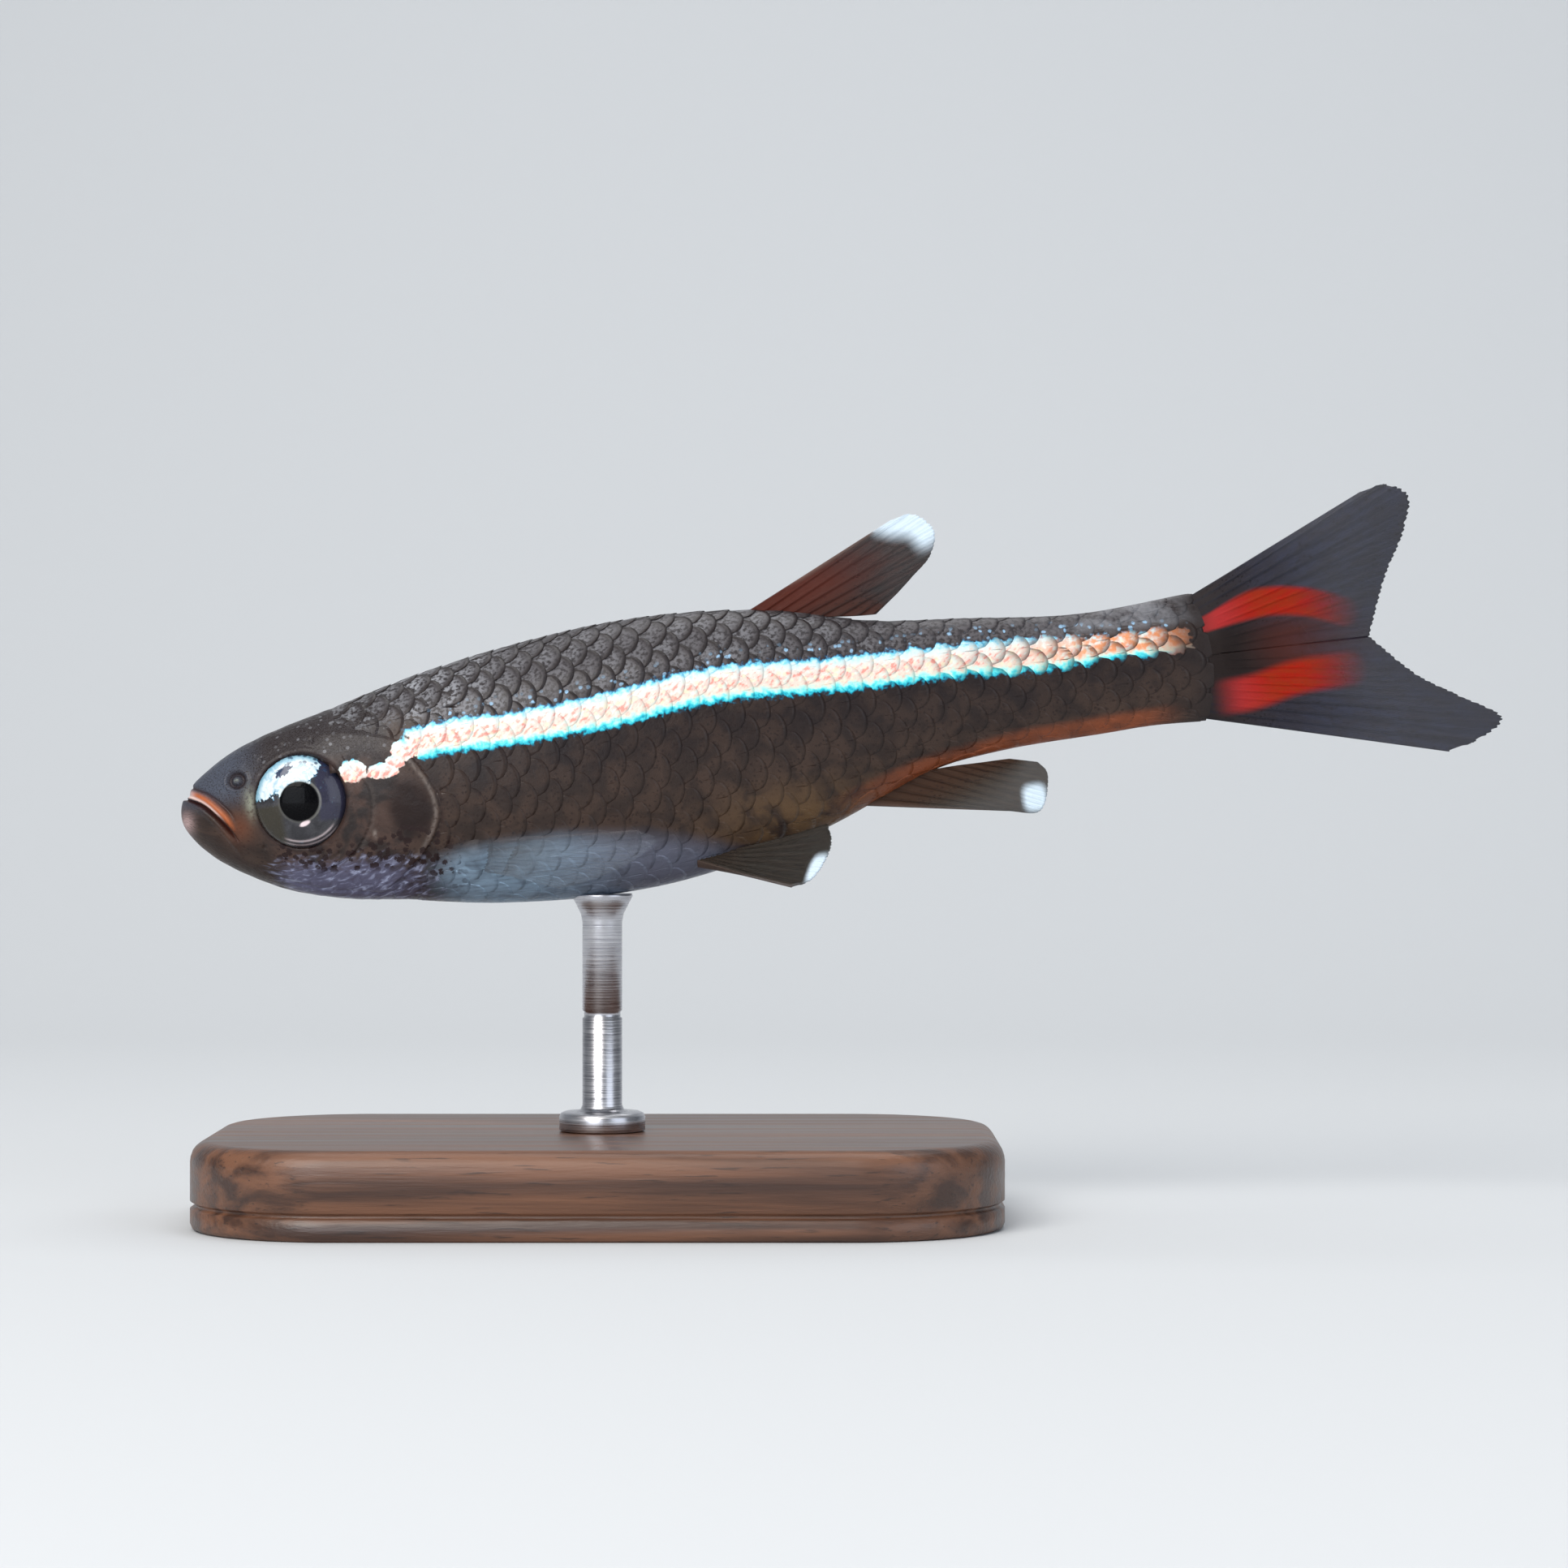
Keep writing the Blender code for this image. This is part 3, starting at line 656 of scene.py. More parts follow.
    def more(self, along: Array, up: Array, behind: Array) -> Parts:
        """The orange line from the vent to the tail, the crown and the dark oval of the cheek.

        Args:
            along: Places along the body.
            up: Heights.
            behind: How far behind the gill cover, 0 to 1.

        Returns:
            The three values.
        """
        vent = np.interp(along, *np.array(self.vent_line).T)
        line = rise(vent + 0.12, vent - 0.2, up) * rise(18.9, 22.2, along) * rise(30.6, 28.6, along)
        crown = rise(0.35, 1.1, up) * (1 - behind) * rise(7.5, 6.0, along)
        from_oval = np.hypot((along - self.cheek_dark[0]) / 0.72, (up - self.cheek_dark[1]) / 0.95)
        return [line, crown, rise(1.2, 0.6, from_oval) * (1 - 0.5 * behind)]

    def values(self, along: Array, up: Array, arc: Array) -> dict[str, Array]:
        """The values that the skin's and the scales' finishes read.

        Args:
            along: Places along the body.
            up: Heights.
            arc: Arcs up from the stripe's middle.

        Returns:
            Named arrays, one entry for each point.
        """
        gill = off_line(self.gill_edge, along, up)
        behind = rise(-0.15, 0.2, gill)
        across, shows = self.stripe(along, arc, up)
        found = {
            "flat": [along, arc, 0.0],
            "band": [across, shows, hump(across, 1.2, 0.17) * rise(6.2, 8.5, along)],
            "flank": self.flank(along, up, arc, behind),
            "head": self.head(along, up, behind),
            "lips": self.lips(along, up),
            "lines": self.lines(along, up, gill),
            "more": self.more(along, up, behind),
        }
        return {name: stacked(*parts) for name, parts in found.items()}


@dataclass(frozen=True)
class FishSkin:
    """One skin over head, gill covers, trunk and tail stem, with the head's own relief."""

    body: BodyShape
    marks: Markings
    arcs: ArcMap
    pose: FishPose
    head_end: float = 9.5
    head_rings: int = 320
    trunk_rings: int = 200
    sides: int = 512
    coat_depth: float = 0.05
    lip_height: float = 0.085
    seam_depth: float = 0.13
    socket_depth: float = 0.6
    cover_step: float = 0.05
    throat_folds: int = 3
    breast_swell: float = 0.16  # over the root of each pectoral fin
    snout_cut: float = 0.16
    pores: Points = (
        (2.5, -1.45), (3.1, -1.93), (3.9, -2.1), (4.7, -1.95), (2.75, 1.15), (3.5, 1.5), (4.35, 1.5),
    )

    def relief(self, along: Array, up: Array) -> Array:
        """How far the skin stands out of the plain body shape.

        Args:
            along: Places along the body.
            up: Heights.

        Returns:
            Heights of the relief.
        """
        marks = self.marks
        mouth = off_line(marks.mouth, along, up)
        jaws = rise(marks.mouth_corner + 0.1, marks.mouth_corner - 0.2, along)
        lips = self.lip_height * hump(mouth, 0.18, 0.1) + 0.06 * hump(mouth, -0.16, 0.1)
        out = jaws * rise(0.3, 0.75, along) * lips
        out -= self.snout_cut * rise(0.5, 0.1, along) * rise(-0.02, 0.1, mouth)
        out -= jaws * (self.seam_depth * hump(mouth, -0.02, 0.045) + 0.05 * hump(mouth, 0.37, 0.05))
        nose = np.hypot((along - marks.nostril[0]) / 1.15, up - marks.nostril[1])
        out += 0.035 * hump(nose, 0.32, 0.05) - 0.1 * hump(nose, 0.18, 0.07) + 0.03 * hump(nose, 0.0, 0.08)
        from_eye = np.hypot(along - marks.eye[0], (up - marks.eye[1]) / 1.03)
        out -= self.socket_depth * rise(1.42, 1.2, from_eye)
        out += 0.014 * hump(from_eye, 1.5, 0.07)
        cheek = off_line(marks.cheek_edge, along, up)
        step = np.where(cheek < 0, np.exp(cheek / 0.3), -np.exp(-cheek / 0.14))
        out += 0.03 * step * rise(-2.7, -2.2, up)
        gill = off_line(marks.gill_edge, along, up)
        cover = rise(1.1, 0.6, up) * rise(-3.5, -3.0, up)
        step = np.where(gill < 0, self.cover_step * np.exp(gill / 0.4), -0.045 * np.exp(-gill / 0.14))
        out += cover * step
        jaw = off_line(marks.jaw_edge, along, up)
        folded = 0.025 * rise(2.0, 3.0, along) * rise(6.9, 6.2, along)
        for fold in range(self.throat_folds):
            out -= folded * hump(jaw, -0.05 - 0.27 * fold, 0.045)
        for place, height in self.pores:
            out -= 0.05 * hump(np.hypot(along - place, up - height), 0.0, 0.06)
        from_fin = np.hypot((along - 8.75) / 0.8, (up + 2.6) / 0.75)
        out += self.breast_swell * rise(0.75, 0.1, from_fin)
        wave = np.sin(7.1 * along + 3.3 * up) * np.sin(5.3 * up - 2.9 * along)
        return out + 0.006 * wave * rise(self.head_end, 7.5, along)

    def build(self, material: Material) -> Thing:
        """Makes the skin object, which stands for the six CAD nodes of the body.

        Args:
            material: Its material.

        Returns:
            The new object.
        """
        head = self.head_end * np.linspace(0, 1, self.head_rings) ** 1.35
        trunk = np.linspace(self.head_end, self.body.length, self.trunk_rings + 1)[1:]
        stations = np.concatenate([head, trunk])
        turns = 2 * math.pi * np.arange(self.sides) / self.sides
        along, turn = (grid.ravel() for grid in np.meshgrid(stations, turns, indexing="ij"))
        points = self.body.surface(along, turn)
        up = points[:, 2]
        fade = rise(self.head_end, self.head_end - 0.6, along)
        gill = off_line(self.marks.gill_edge, along, up)
        height = self.relief(along, up) * fade
        nape = rise(0.9, 2.1, up)
        under_scales = (gill + 2.1 * nape * rise(3.6, 5.2, along)) / (0.3 + 1.1 * nape)
        height -= self.coat_depth * rise(0.0, 1.0, under_scales)
        points = points + self.body.normal(along, turn) * height[:, None]
        folded = np.minimum(turn, 2 * math.pi - turn)
        arc = self.arcs.arc(along, folded)
        values = self.marks.values(along, up, arc)
        ends = np.array([[-0.02, 0, float(self.body.waist(0.0))], [31.33, 0, float(self.body.waist(31.0))]])
        values = {name: np.concatenate([v, v[:1], v[-1:]]) for name, v in values.items()}
        quads, caps = closed_rings(len(stations), self.sides)
        bake = stacked(0.01 + 0.98 * along / self.body.length, 0.01 + 0.98 * turn / (2 * math.pi))
        bake = np.concatenate([bake, [[0.005, 0.5], [0.995, 0.5]]])
        points = self.pose.place(np.concatenate([points, ends]))
        piece = Piece("fish_skin", points, quads, caps, values, bake)
        nodes = ("head", "lower_jaw", "gill_cover_left", "gill_cover_right", "trunk", "tail_stem")
        return piece.build(Slot.SKIN, nodes, material)


@dataclass(frozen=True)
class ScaleCoat:
    """Overlapping round scales in rows that run along with the stripe."""

    body: BodyShape
    marks: Markings
    arcs: ArcMap
    pose: FishPose
    pitch: float = 0.8
    row_pitch: float = 0.62
    length: float = 1.27
    thickness: float = 0.008
    first_root: float = 4.0  # on the nape
    last_root: float = 30.1
    coat_end: float = 31.3  # where the last scales lie over the tail fin's root
    middle_runs: Points = (  # of the scales along the back and the belly, as (start, stop, turn)
        (4.8, 18.0, 0.0), (21.9, 30.0, 0.0), (8.0, 20.4, math.pi), (25.6, 30.0, math.pi),
    )
    rows_each_way: int = 14
    steps_along: int = 36
    edge_gap: float = 0.12  # kept free along the middle of the back and the belly
    nape_low: float = 0.95  # how far down the scales go in front of the gill cover's edge
    under_cover: float = 0.75  # how far they start under that edge
    sunk: float = 0.035  # how deep a scale's root lies under the plain body shape
    side_length: float = 0.58  # of the length in its middle
    rear_lift: float = 0.056
    side_drop: float = 0.014
    least_lift: float = 0.025
    grid: int = 10
    patch: float = 0.003  # of the bake map, for each scale
    seed: int = 31

    def row_width(self, along: Array) -> Array:
        """The distance from row to row, less towards the tail."""
        return self.row_pitch * (1 - 0.25 * rise(16, 28, along))

    def roots(self) -> Array:
        """Finds where the scales of one side are rooted.

        Returns:
            Roots as rows of (along, arc).
        """
        rows = np.arange(-self.rows_each_way, self.rows_each_way)
        row, step = (grid.ravel() for grid in np.meshgrid(rows, np.arange(self.steps_along), indexing="ij"))
        along = self.first_root + (step + 0.5 * (row % 2)) * self.pitch
        arc = (row + 0.5) * self.row_width(along)
        up = self.body.surface(along + 0.15, self.arcs.turn(along + 0.15, arc))[:, 2]
        inside = arc > self.arcs.arc(along, np.full(len(row), math.pi)) + self.edge_gap
        inside &= arc < self.arcs.arc(along, np.zeros(len(row))) - self.edge_gap
        nape = (arc > 0.1) & (up > self.nape_low) & (along > self.first_root)
        behind_gill = off_line(self.marks.gill_edge, along, up) > -self.under_cover
        inside &= (along < self.last_root) & (nape | behind_gill)
        return stacked(along, arc)[inside]

    def median_roots(self) -> Array:
        """Finds where the scales along the middle of the back and the belly are rooted.

        Returns:
            Roots as rows of (along, turn), with none where the dorsal and anal fins stand.
        """
        roots = []
        for start, stop, turn in self.middle_runs:
            roots += [(along, turn) for along in np.arange(start, stop, self.pitch)]
        return np.array(roots)

    def plates(self, along0: Array, arc0: Array, key: int) -> tuple[Array, ...]:
        """Lays out the scales' upper faces.

        Args:
            along0: Where each scale is rooted along the body.
            arc0: The arc of each scale's middle line.
            key: Added to the seed, so that each coat piece differs.

        Returns:
            For each grid point of each scale, its place along, its arc, its turn, its height over
            the plain body shape, the scale's thickness there, and what the finish reads of it.
        """
        chance = np.random.default_rng(self.seed + key)
        count = len(along0)
        size = 1 + 0.1 * (chance.random((count, 1, 1)) - 0.5)
        tilt = 0.02 * (chance.random((count, 1, 1)) - 0.5)
        u = np.linspace(-1, 1, self.grid)[None, None, :]
        v = np.linspace(0, 1, self.grid)[None, :, None]
        bow = self.side_length + (1 - self.side_length) * np.sqrt(np.maximum(1 - u * u, 0))
        reach = self.length * size * bow
        along = np.minimum(along0[:, None, None] + v * reach, self.coat_end)
        arc = arc0[:, None, None] + self.row_width(along0)[:, None, None] * u + 0 * along
        turn = self.arcs.turn(along, arc)
        front = rise(8.6, 6.4, along0)[:, None, None]
        strength = 0.01 + 0.84 * rise(0.0, 1.0, (arc - 0.55 - 0.35 * front) / (0.6 + 1.1 * front))
        strength = strength * rise(3.6, 5.7, along0 + 0.25 * arc0)[:, None, None]
        strength = strength * rise(28.5, 18.0, along0)[:, None, None] + self.least_lift
        lift = -self.sunk + strength * (self.rear_lift * v**1.3 - self.side_drop * u * u + tilt * u * v)
        lift = lift - 0.2 * np.maximum(along - self.body.length, 0)
        rim = np.maximum(v * (0.86 + 0.14 * np.abs(u)), np.abs(u) ** 3 * (0.55 + 0.45 * v))
        own = stacked(rim, chance.random((count, 1, 1)), v)
        deep = self.thickness * (0.28 + 0.72 * strength)
        return along, arc, turn, lift, deep, own

    def coat(self, name: str, along0: Array, arc0: Array, hand: Array, key: int, material: Material) -> Thing:
        """Makes one coat piece of closed scales.

        Args:
            name: The piece's name.
            along0: Where each scale is rooted along the body.
            arc0: The arc of each scale's middle line.
            hand: For each scale, -1 on the left side and 1 on the right.
            key: Added to the seed.
            material: Its material.

        Returns:
            The new object.
        """
        along, arc, turn, lift, deep, own = self.plates(along0, arc0, key)
        skin = self.body.surface(along, turn)
        normal = self.body.normal(along, turn)
        upper = skin + normal * lift[..., None]
        lower = skin + normal * (lift - deep)[..., None]
        both = np.stack([upper, lower], 1)
        both[..., 1] *= -hand[:, None, None, None]
        count, n = len(along0), self.grid
        each = 2 * n * n
        face = tiles(n, n)
        wall = rim_wall(n, n)
        one = np.concatenate([face[:, ::-1], face + n * n, wall])
        crisp = np.tile(np.arange(len(one)) >= 2 * len(face), count)
        quads = one[None] + each * np.arange(count)[:, None, None]
        quads = np.where((hand < 0)[:, None, None], quads, quads[:, :, ::-1]).reshape(-1, 4)
        towards_middle = (0.02 + 0.2 * rise(18, 27, along)) * (arc0[:, None, None] - arc)
        values = self.marks.values(along.ravel(), skin[..., 2].ravel(), (arc + towards_middle).ravel())
        values["flat"] = stacked(along, arc, 0.0).reshape(-1, 3)
        values["scale"] = own.reshape(-1, 3)
        values = {label: self.doubled(numbers) for label, numbers in values.items()}
        bake = self.bake_patches(along0, self.arcs.turn(along0, arc0), hand)
        points = self.pose.place(both.reshape(-1, 3))
        piece = Piece(name, points, quads, values=values, bake_map=bake, crisp=crisp)
        return piece.build(Slot.SKIN, (), material)

    def doubled(self, numbers: Array) -> Array:
        """Values of the upper faces' points, given to the under faces' points too."""
        return np.repeat(numbers.reshape(-1, 1, self.grid**2, 3), 2, axis=1).reshape(-1, 3)

    def bake_patches(self, along0: Array, turn0: Array, hand: Array) -> Array:
        """Gives each face of each scale a small patch of the bake map at its root's place.

        Args:
            along0: Where each scale is rooted along the body.
            turn0: The turn round the body there.
            hand: For each scale, -1 on the left side and 1 on the right.

        Returns:
            The place on the map of each point of each scale.
        """
        n = self.grid
        across, ahead = np.meshgrid(np.linspace(-0.5, 0.5, n), np.linspace(-0.5, 0.5, n))
        place = 0.02 + 0.95 * (along0 - 3.8) / 28
        turned = 0.5 + 0.5 * hand * (0.04 + 0.9 * np.clip(turn0, 0, math.pi) / math.pi)
        patches = []
        for face in range(2):
            u = place[:, None, None] + face * 1.6 * self.patch + self.patch * ahead
            v = turned[:, None, None] + self.patch * across
            patches.append(stacked(u, v))
        return np.stack(patches, 1).reshape(-1, 2)

    def build(self, material: Material) -> list[Thing]:
        """Makes the scales of both sides and those along the middle.

        Args:
            material: Their material.

        Returns:
            The three new objects.
        """
        roots = self.roots()
        made = []
        for side in Side:
            hand = np.full(len(roots), side.value)
            name = f"scales_{side.label}"
            made.append(self.coat(name, roots[:, 0], roots[:, 1], hand, side.value + 1, material))
        middle = self.median_roots()
        arc = self.arcs.arc(middle[:, 0], middle[:, 1])
        hand = np.full(len(middle), -1)
        made.append(self.coat("scales_middle", middle[:, 0], arc, hand, 5, material))
        return made


@dataclass(frozen=True)
class Eye:
    """One eye: a flattened ball with a raised pupil, a dished iris and a clear wet front."""

    body: BodyShape
    pose: FishPose
    side: Side
    place: tuple[float, float]
    radius: float = 1.4
    half_depth: float = 0.62
    proud: float = 0.26
    turn: float = math.radians(1.5)
    pupil: float = 0.59
    pupil_dome: float = 0.02
    iris_dish: float = 0.035
    rings: int = 90
    rear_rings: int = 14
    sides: int = 160

    def build(self, material: Material) -> Thing:
        """Makes the eye object.

        Args:
            material: Its material.

        Returns:
            The new object.
        """
        front = self.radius * np.sin(np.linspace(0, math.pi / 2, self.rings))
        rear = self.radius * np.cos(np.linspace(0, math.pi / 2, self.rear_rings))[1:-1]
        far = np.concatenate([front[1:], rear])
        depth = self.half_depth * np.sqrt(np.maximum(1 - (far / self.radius) ** 2, 0))
        depth[len(front) - 1:] *= -1
        dish = self.iris_dish * rise(self.pupil - 0.03, self.pupil + 0.05, far) * rise(1.3, 1.1, far)
        dome = self.pupil_dome * np.sqrt(np.maximum(1 - (far / self.pupil) ** 2, 0))
        depth[:len(front) - 1] += (dome - dish)[:len(front) - 1]
        angle = 2 * math.pi * np.arange(self.sides) / self.sides
        across, high = far[:, None] * np.cos(angle), far[:, None] * np.sin(angle)
        local = stacked(across, depth[:, None], high).reshape(-1, 3)
        poles = [[0, self.half_depth + self.pupil_dome, 0], [0, -self.half_depth, 0]]
        local = np.concatenate([local, poles])
        values = self.values(local[:, 0], local[:, 2])
        hand = self.side.value
        out = float(self.body.side_at(*self.place)) + self.proud - self.half_depth
        ahead = local[:, 0] * math.cos(self.turn) - local[:, 1] * math.sin(self.turn)
        aside = local[:, 0] * math.sin(self.turn) + local[:, 1] * math.cos(self.turn)
        points = stacked(self.place[0] + ahead, hand * (out + aside), self.place[1] + local[:, 2])
        quads, caps = closed_rings(len(far), self.sides)
        if self.side is Side.LEFT:
            quads, caps = quads[:, ::-1], caps[:, ::-1]
        name = f"eyeball_{self.side.label}"
        piece = Piece(name, self.pose.place(points), quads, caps, values)
        return piece.build(Slot.EYE, (f"eye_{self.side.label}",), material)

    def values(self, across: Array, high: Array) -> dict[str, Array]:
        """What the eye's finish reads.

        Args:
            across: Places across the eye, towards the tail.
            high: Heights in the eye.

        Returns:
            Named arrays, one entry for each point.
        """
        far = np.hypot(across, high)
        angle = np.degrees(np.arctan2(high, across))
        upper = rise(-0.2, 0.32, high - 0.3 * (across + 1.2) + 0.06 * np.sin(9 * across))
        upper *= rise(0.76, 0.6, across + 0.04 * np.sin(11 * high))
        upper *= rise(0.05, 0.3, high - 0.55 * rise(0.1, 0.62, across)) * rise(1.4, 1.34, far)
        olive = rise(-0.45, -0.7, across) * rise(0.05, -0.1, high)
        slate = rise(0.45, 0.6, across) * rise(-0.75, -0.6, high)
        from_glint = np.hypot((across - 0.06) / 0.13, (high + 0.68 - 0.25 * (across - 0.06)) / 0.06)
        glint = rise(1.5, 0.9, from_glint)
        low_rim = rise(-125, -112, angle) * rise(-38, -52, angle)
        crescent = low_rim * (0.42 * hump(far, 1.2, 0.03) + 0.3 * hump(far, 1.31, 0.022))
        glint = np.maximum(glint, crescent)
        lean = np.radians(27)
        long = (across + 0.36) * math.cos(lean) + (high - 0.96) * math.sin(lean)
        wide = -(across + 0.36) * math.sin(lean) + (high - 0.96) * math.cos(lean)
        blotch = hump(np.hypot(long / 0.4, wide / 0.16), 0.0, 0.9)
        return {
            "gaze": stacked(across, high, far),
            "iris": stacked(upper, olive, slate),
            "eye_marks": stacked(rise(self.pupil + 0.02, self.pupil - 0.02, far), glint, blotch),
        }


class FinKind(Enum):
    """What colours a fin carries."""

    DORSAL = "dorsal"
    ANAL = "anal"
    PELVIC = "pelvic"
    PECTORAL = "pectoral"
    TAIL = "tail"


@dataclass(frozen=True)
class RayFin:
    """A thin fin whose rays stand up as ridges, fork twice and are cut into short joints."""

    name: str
    kind: FinKind
    root: Curve
    margin: Curve
    rays: int
    replaced: tuple[str, ...]
    sway: tuple[float, float] = (0.0, 0.0)  # at the leading ray and at the last
    root_half: Curve | None = None  # half the body's width where the fin grows out of its end
    buried: float = 0.12  # share of a ray's length that reaches into the body
    thick_root: float = 0.34
    thick_tip: float = 0.07
    ray_height: float = 0.04
    per_ray: int = 16
    rows: int = 100
    dip: float = 0.012
    flesh: float = 0.87  # of the body's end, where the fin grows out of it
    flesh_reach: float = 0.17
    joint_depth: float = 0.35
    joint_pitch: float = 0.13
    white_edge: Points = ((22.0, 5.25), (22.35, 5.1), (22.95, 4.95), (23.3, 4.35), (23.45, 4.0))
    upper_bar: Points = ((35.7, 0.85), (34.7, 1.25), (33.3, 1.48), (31.1, 1.0))
    lower_bar: Points = ((35.6, -0.9), (33.8, -0.93), (32.5, -1.17), (31.6, -1.2))

    def ray_strength(self, spread: Array, reach: Array) -> Array:
        """How much of a ray there is at each point, 0 on bare membrane to 1.

        Args:
            spread: Places across the fin, counted in rays.
            reach: Shares of the way out to the margin.

        Returns:
            The strengths.
        """
        nearest = np.round(spread)
        off = spread - nearest
        first = 0.24 * rise(0.34, 0.85, reach)
        second = 0.1 * rise(0.62, 1.0, reach)
        lead = rise(0.5, 1.5, nearest)
        width = 0.15 - 0.075 * reach
        strength = np.zeros_like(spread)
        for a in (-1, 1):
            for b in (-1, 1):
                branch = hump(off - lead * (a * first + b * second), 0.0, width)
                strength = np.maximum(strength, hump(off, 0.0, 1.0) * branch)
        return strength

    def build(self, pose: FishPose, material: Material) -> Thing:
        """Makes the fin object.

        Args:
            pose: Where the fish hangs.
            material: Its material.

        Returns:
            The new object.
        """
        columns = (self.rays - 1) * self.per_ray + 1
        share = np.linspace(0, 1, columns)[None, :]
        reach = np.linspace(-self.buried, 1, self.rows)[:, None]
        root, margin = self.root(share[0])[None], self.margin(share[0])[None]
        spread = share * (self.rays - 1) + 0 * reach
        outer = np.clip(reach, 0, 1) + 0 * share
        strength = self.ray_strength(spread, outer)
        tip = self.ray_strength(spread[-1:], np.ones((1, columns)))
        stretch = 1 - self.dip * (1 - tip) * outer**3
        middle = root + (margin - root) * (reach * stretch)[..., None]
        middle[..., 1] += (self.sway[0] + (self.sway[1] - self.sway[0]) * share) * outer**2
        ahead, over = np.gradient(middle, axis=0), np.gradient(middle, axis=1)
        normal = np.cross(over, ahead)
        normal /= np.linalg.norm(normal, axis=-1, keepdims=True)
        long = np.linalg.norm(margin - root, axis=-1) * outer
        joint = np.mod(long / self.joint_pitch + 0.5 * np.mod(np.round(spread), 2), 1)
        joints = 1 - self.joint_depth * hump(joint, 0.5, 0.16)
        half = 0.5 * (self.thick_root + (self.thick_tip - self.thick_root) * rise(-0.05, 0.75, outer))
        half = half + self.ray_height * (1 - 0.45 * outer) * strength * np.where(outer > 0.1, joints, 1)
        edge = np.clip(np.minimum(share, 1 - share) * (self.rays - 1) * 5 + 0.25, 0, 1)
        if self.root_half is not None:
            flesh = self.flesh * self.root_half(root[0, :, 2])[None]
            half = flesh + (half - flesh) * rise(0.0, self.flesh_reach, reach)
            edge = np.maximum(edge, rise(0.1, 0.0, reach))
        half = half * edge * np.where(reach > 0.995, 0.5, 1)
        faces = np.stack([middle + normal * half[..., None], middle - normal * half[..., None]])
        count = self.rows * columns
        front = tiles(self.rows, columns)
        wall = rim_wall(self.rows, columns)[:, ::-1]
        quads = np.concatenate([front, front[:, ::-1] + count, wall])
        found = {
            "fin": [outer, share, strength],
            "fin_flat": [long, spread, 0.0],
            "fin_marks": self.marks(middle[..., 0], middle[..., 2], outer, share),
        }
        values = {name: np.tile(stacked(*parts).reshape(-1, 3), (2, 1)) for name, parts in found.items()}
        piece = Piece(self.name, pose.place(faces.reshape(-1, 3)), quads, values=values)
        return piece.build(Slot.FIN, self.replaced, material)

    def marks(self, along: Array, up: Array, outer: Array, share: Array) -> Parts:
        """The fin's white, red and pale marks.

        Args:
            along: Places along the body.
            up: Heights.
            outer: Shares of the way out to the margin.
            share: Shares of the way across, from the leading ray.

        Returns:
            The three marks at each point.
        """
        none = 0 * up
        if self.kind is FinKind.DORSAL:
            white = rise(-0.3, 0.3, off_line(self.white_edge, along, up, 20))
            white = white * rise(0.55, 0.75, outer) * rise(0.6, 0.4, share)
            red = 0.75 * rise(0.8, 0.2, outer) * rise(0.7, 0.2, share)
            return [white, red, 0.6 * hump(share, 0.0, 0.05) * rise(0.1, 0.3, outer)]
        if self.kind is FinKind.ANAL:
            white = rounded((along - 25.56) / 0.38, (up + 3.36) / 0.44)
            return [white, 0.12 * rise(0.6, 0.0, outer), 0.4 * hump(share, 0.0, 0.04)]
        if self.kind is FinKind.PELVIC:
            white = rounded((along - 18.72 - 0.55 * (up + 4.5)) / 0.26, (up + 4.5) / 0.42)
            return [white, none, 0.35 * hump(share, 0.0, 0.05)]
        if self.kind is FinKind.TAIL:
            upper, lower = (np.abs(off_line(bar, along, up, 20)) for bar in (self.upper_bar, self.lower_bar))
            upper = rise(1.25, 0.75, upper / (0.22 + 0.2 * rise(31.0, 33.2, along)))
            lower = rise(1.3, 0.7, lower / 0.5) * rise(31.2, 32.4, along)
            red = np.maximum(upper * rise(30.6, 31.9, along), lower) * rise(36.4, 33.9, along)
            return [none, red, rise(1.5, 0.4, np.abs(up - 0.05)) * rise(36.9, 33.2, along)]
        return [none, none, 0.5 * hump(share, 0.0, 0.05)]


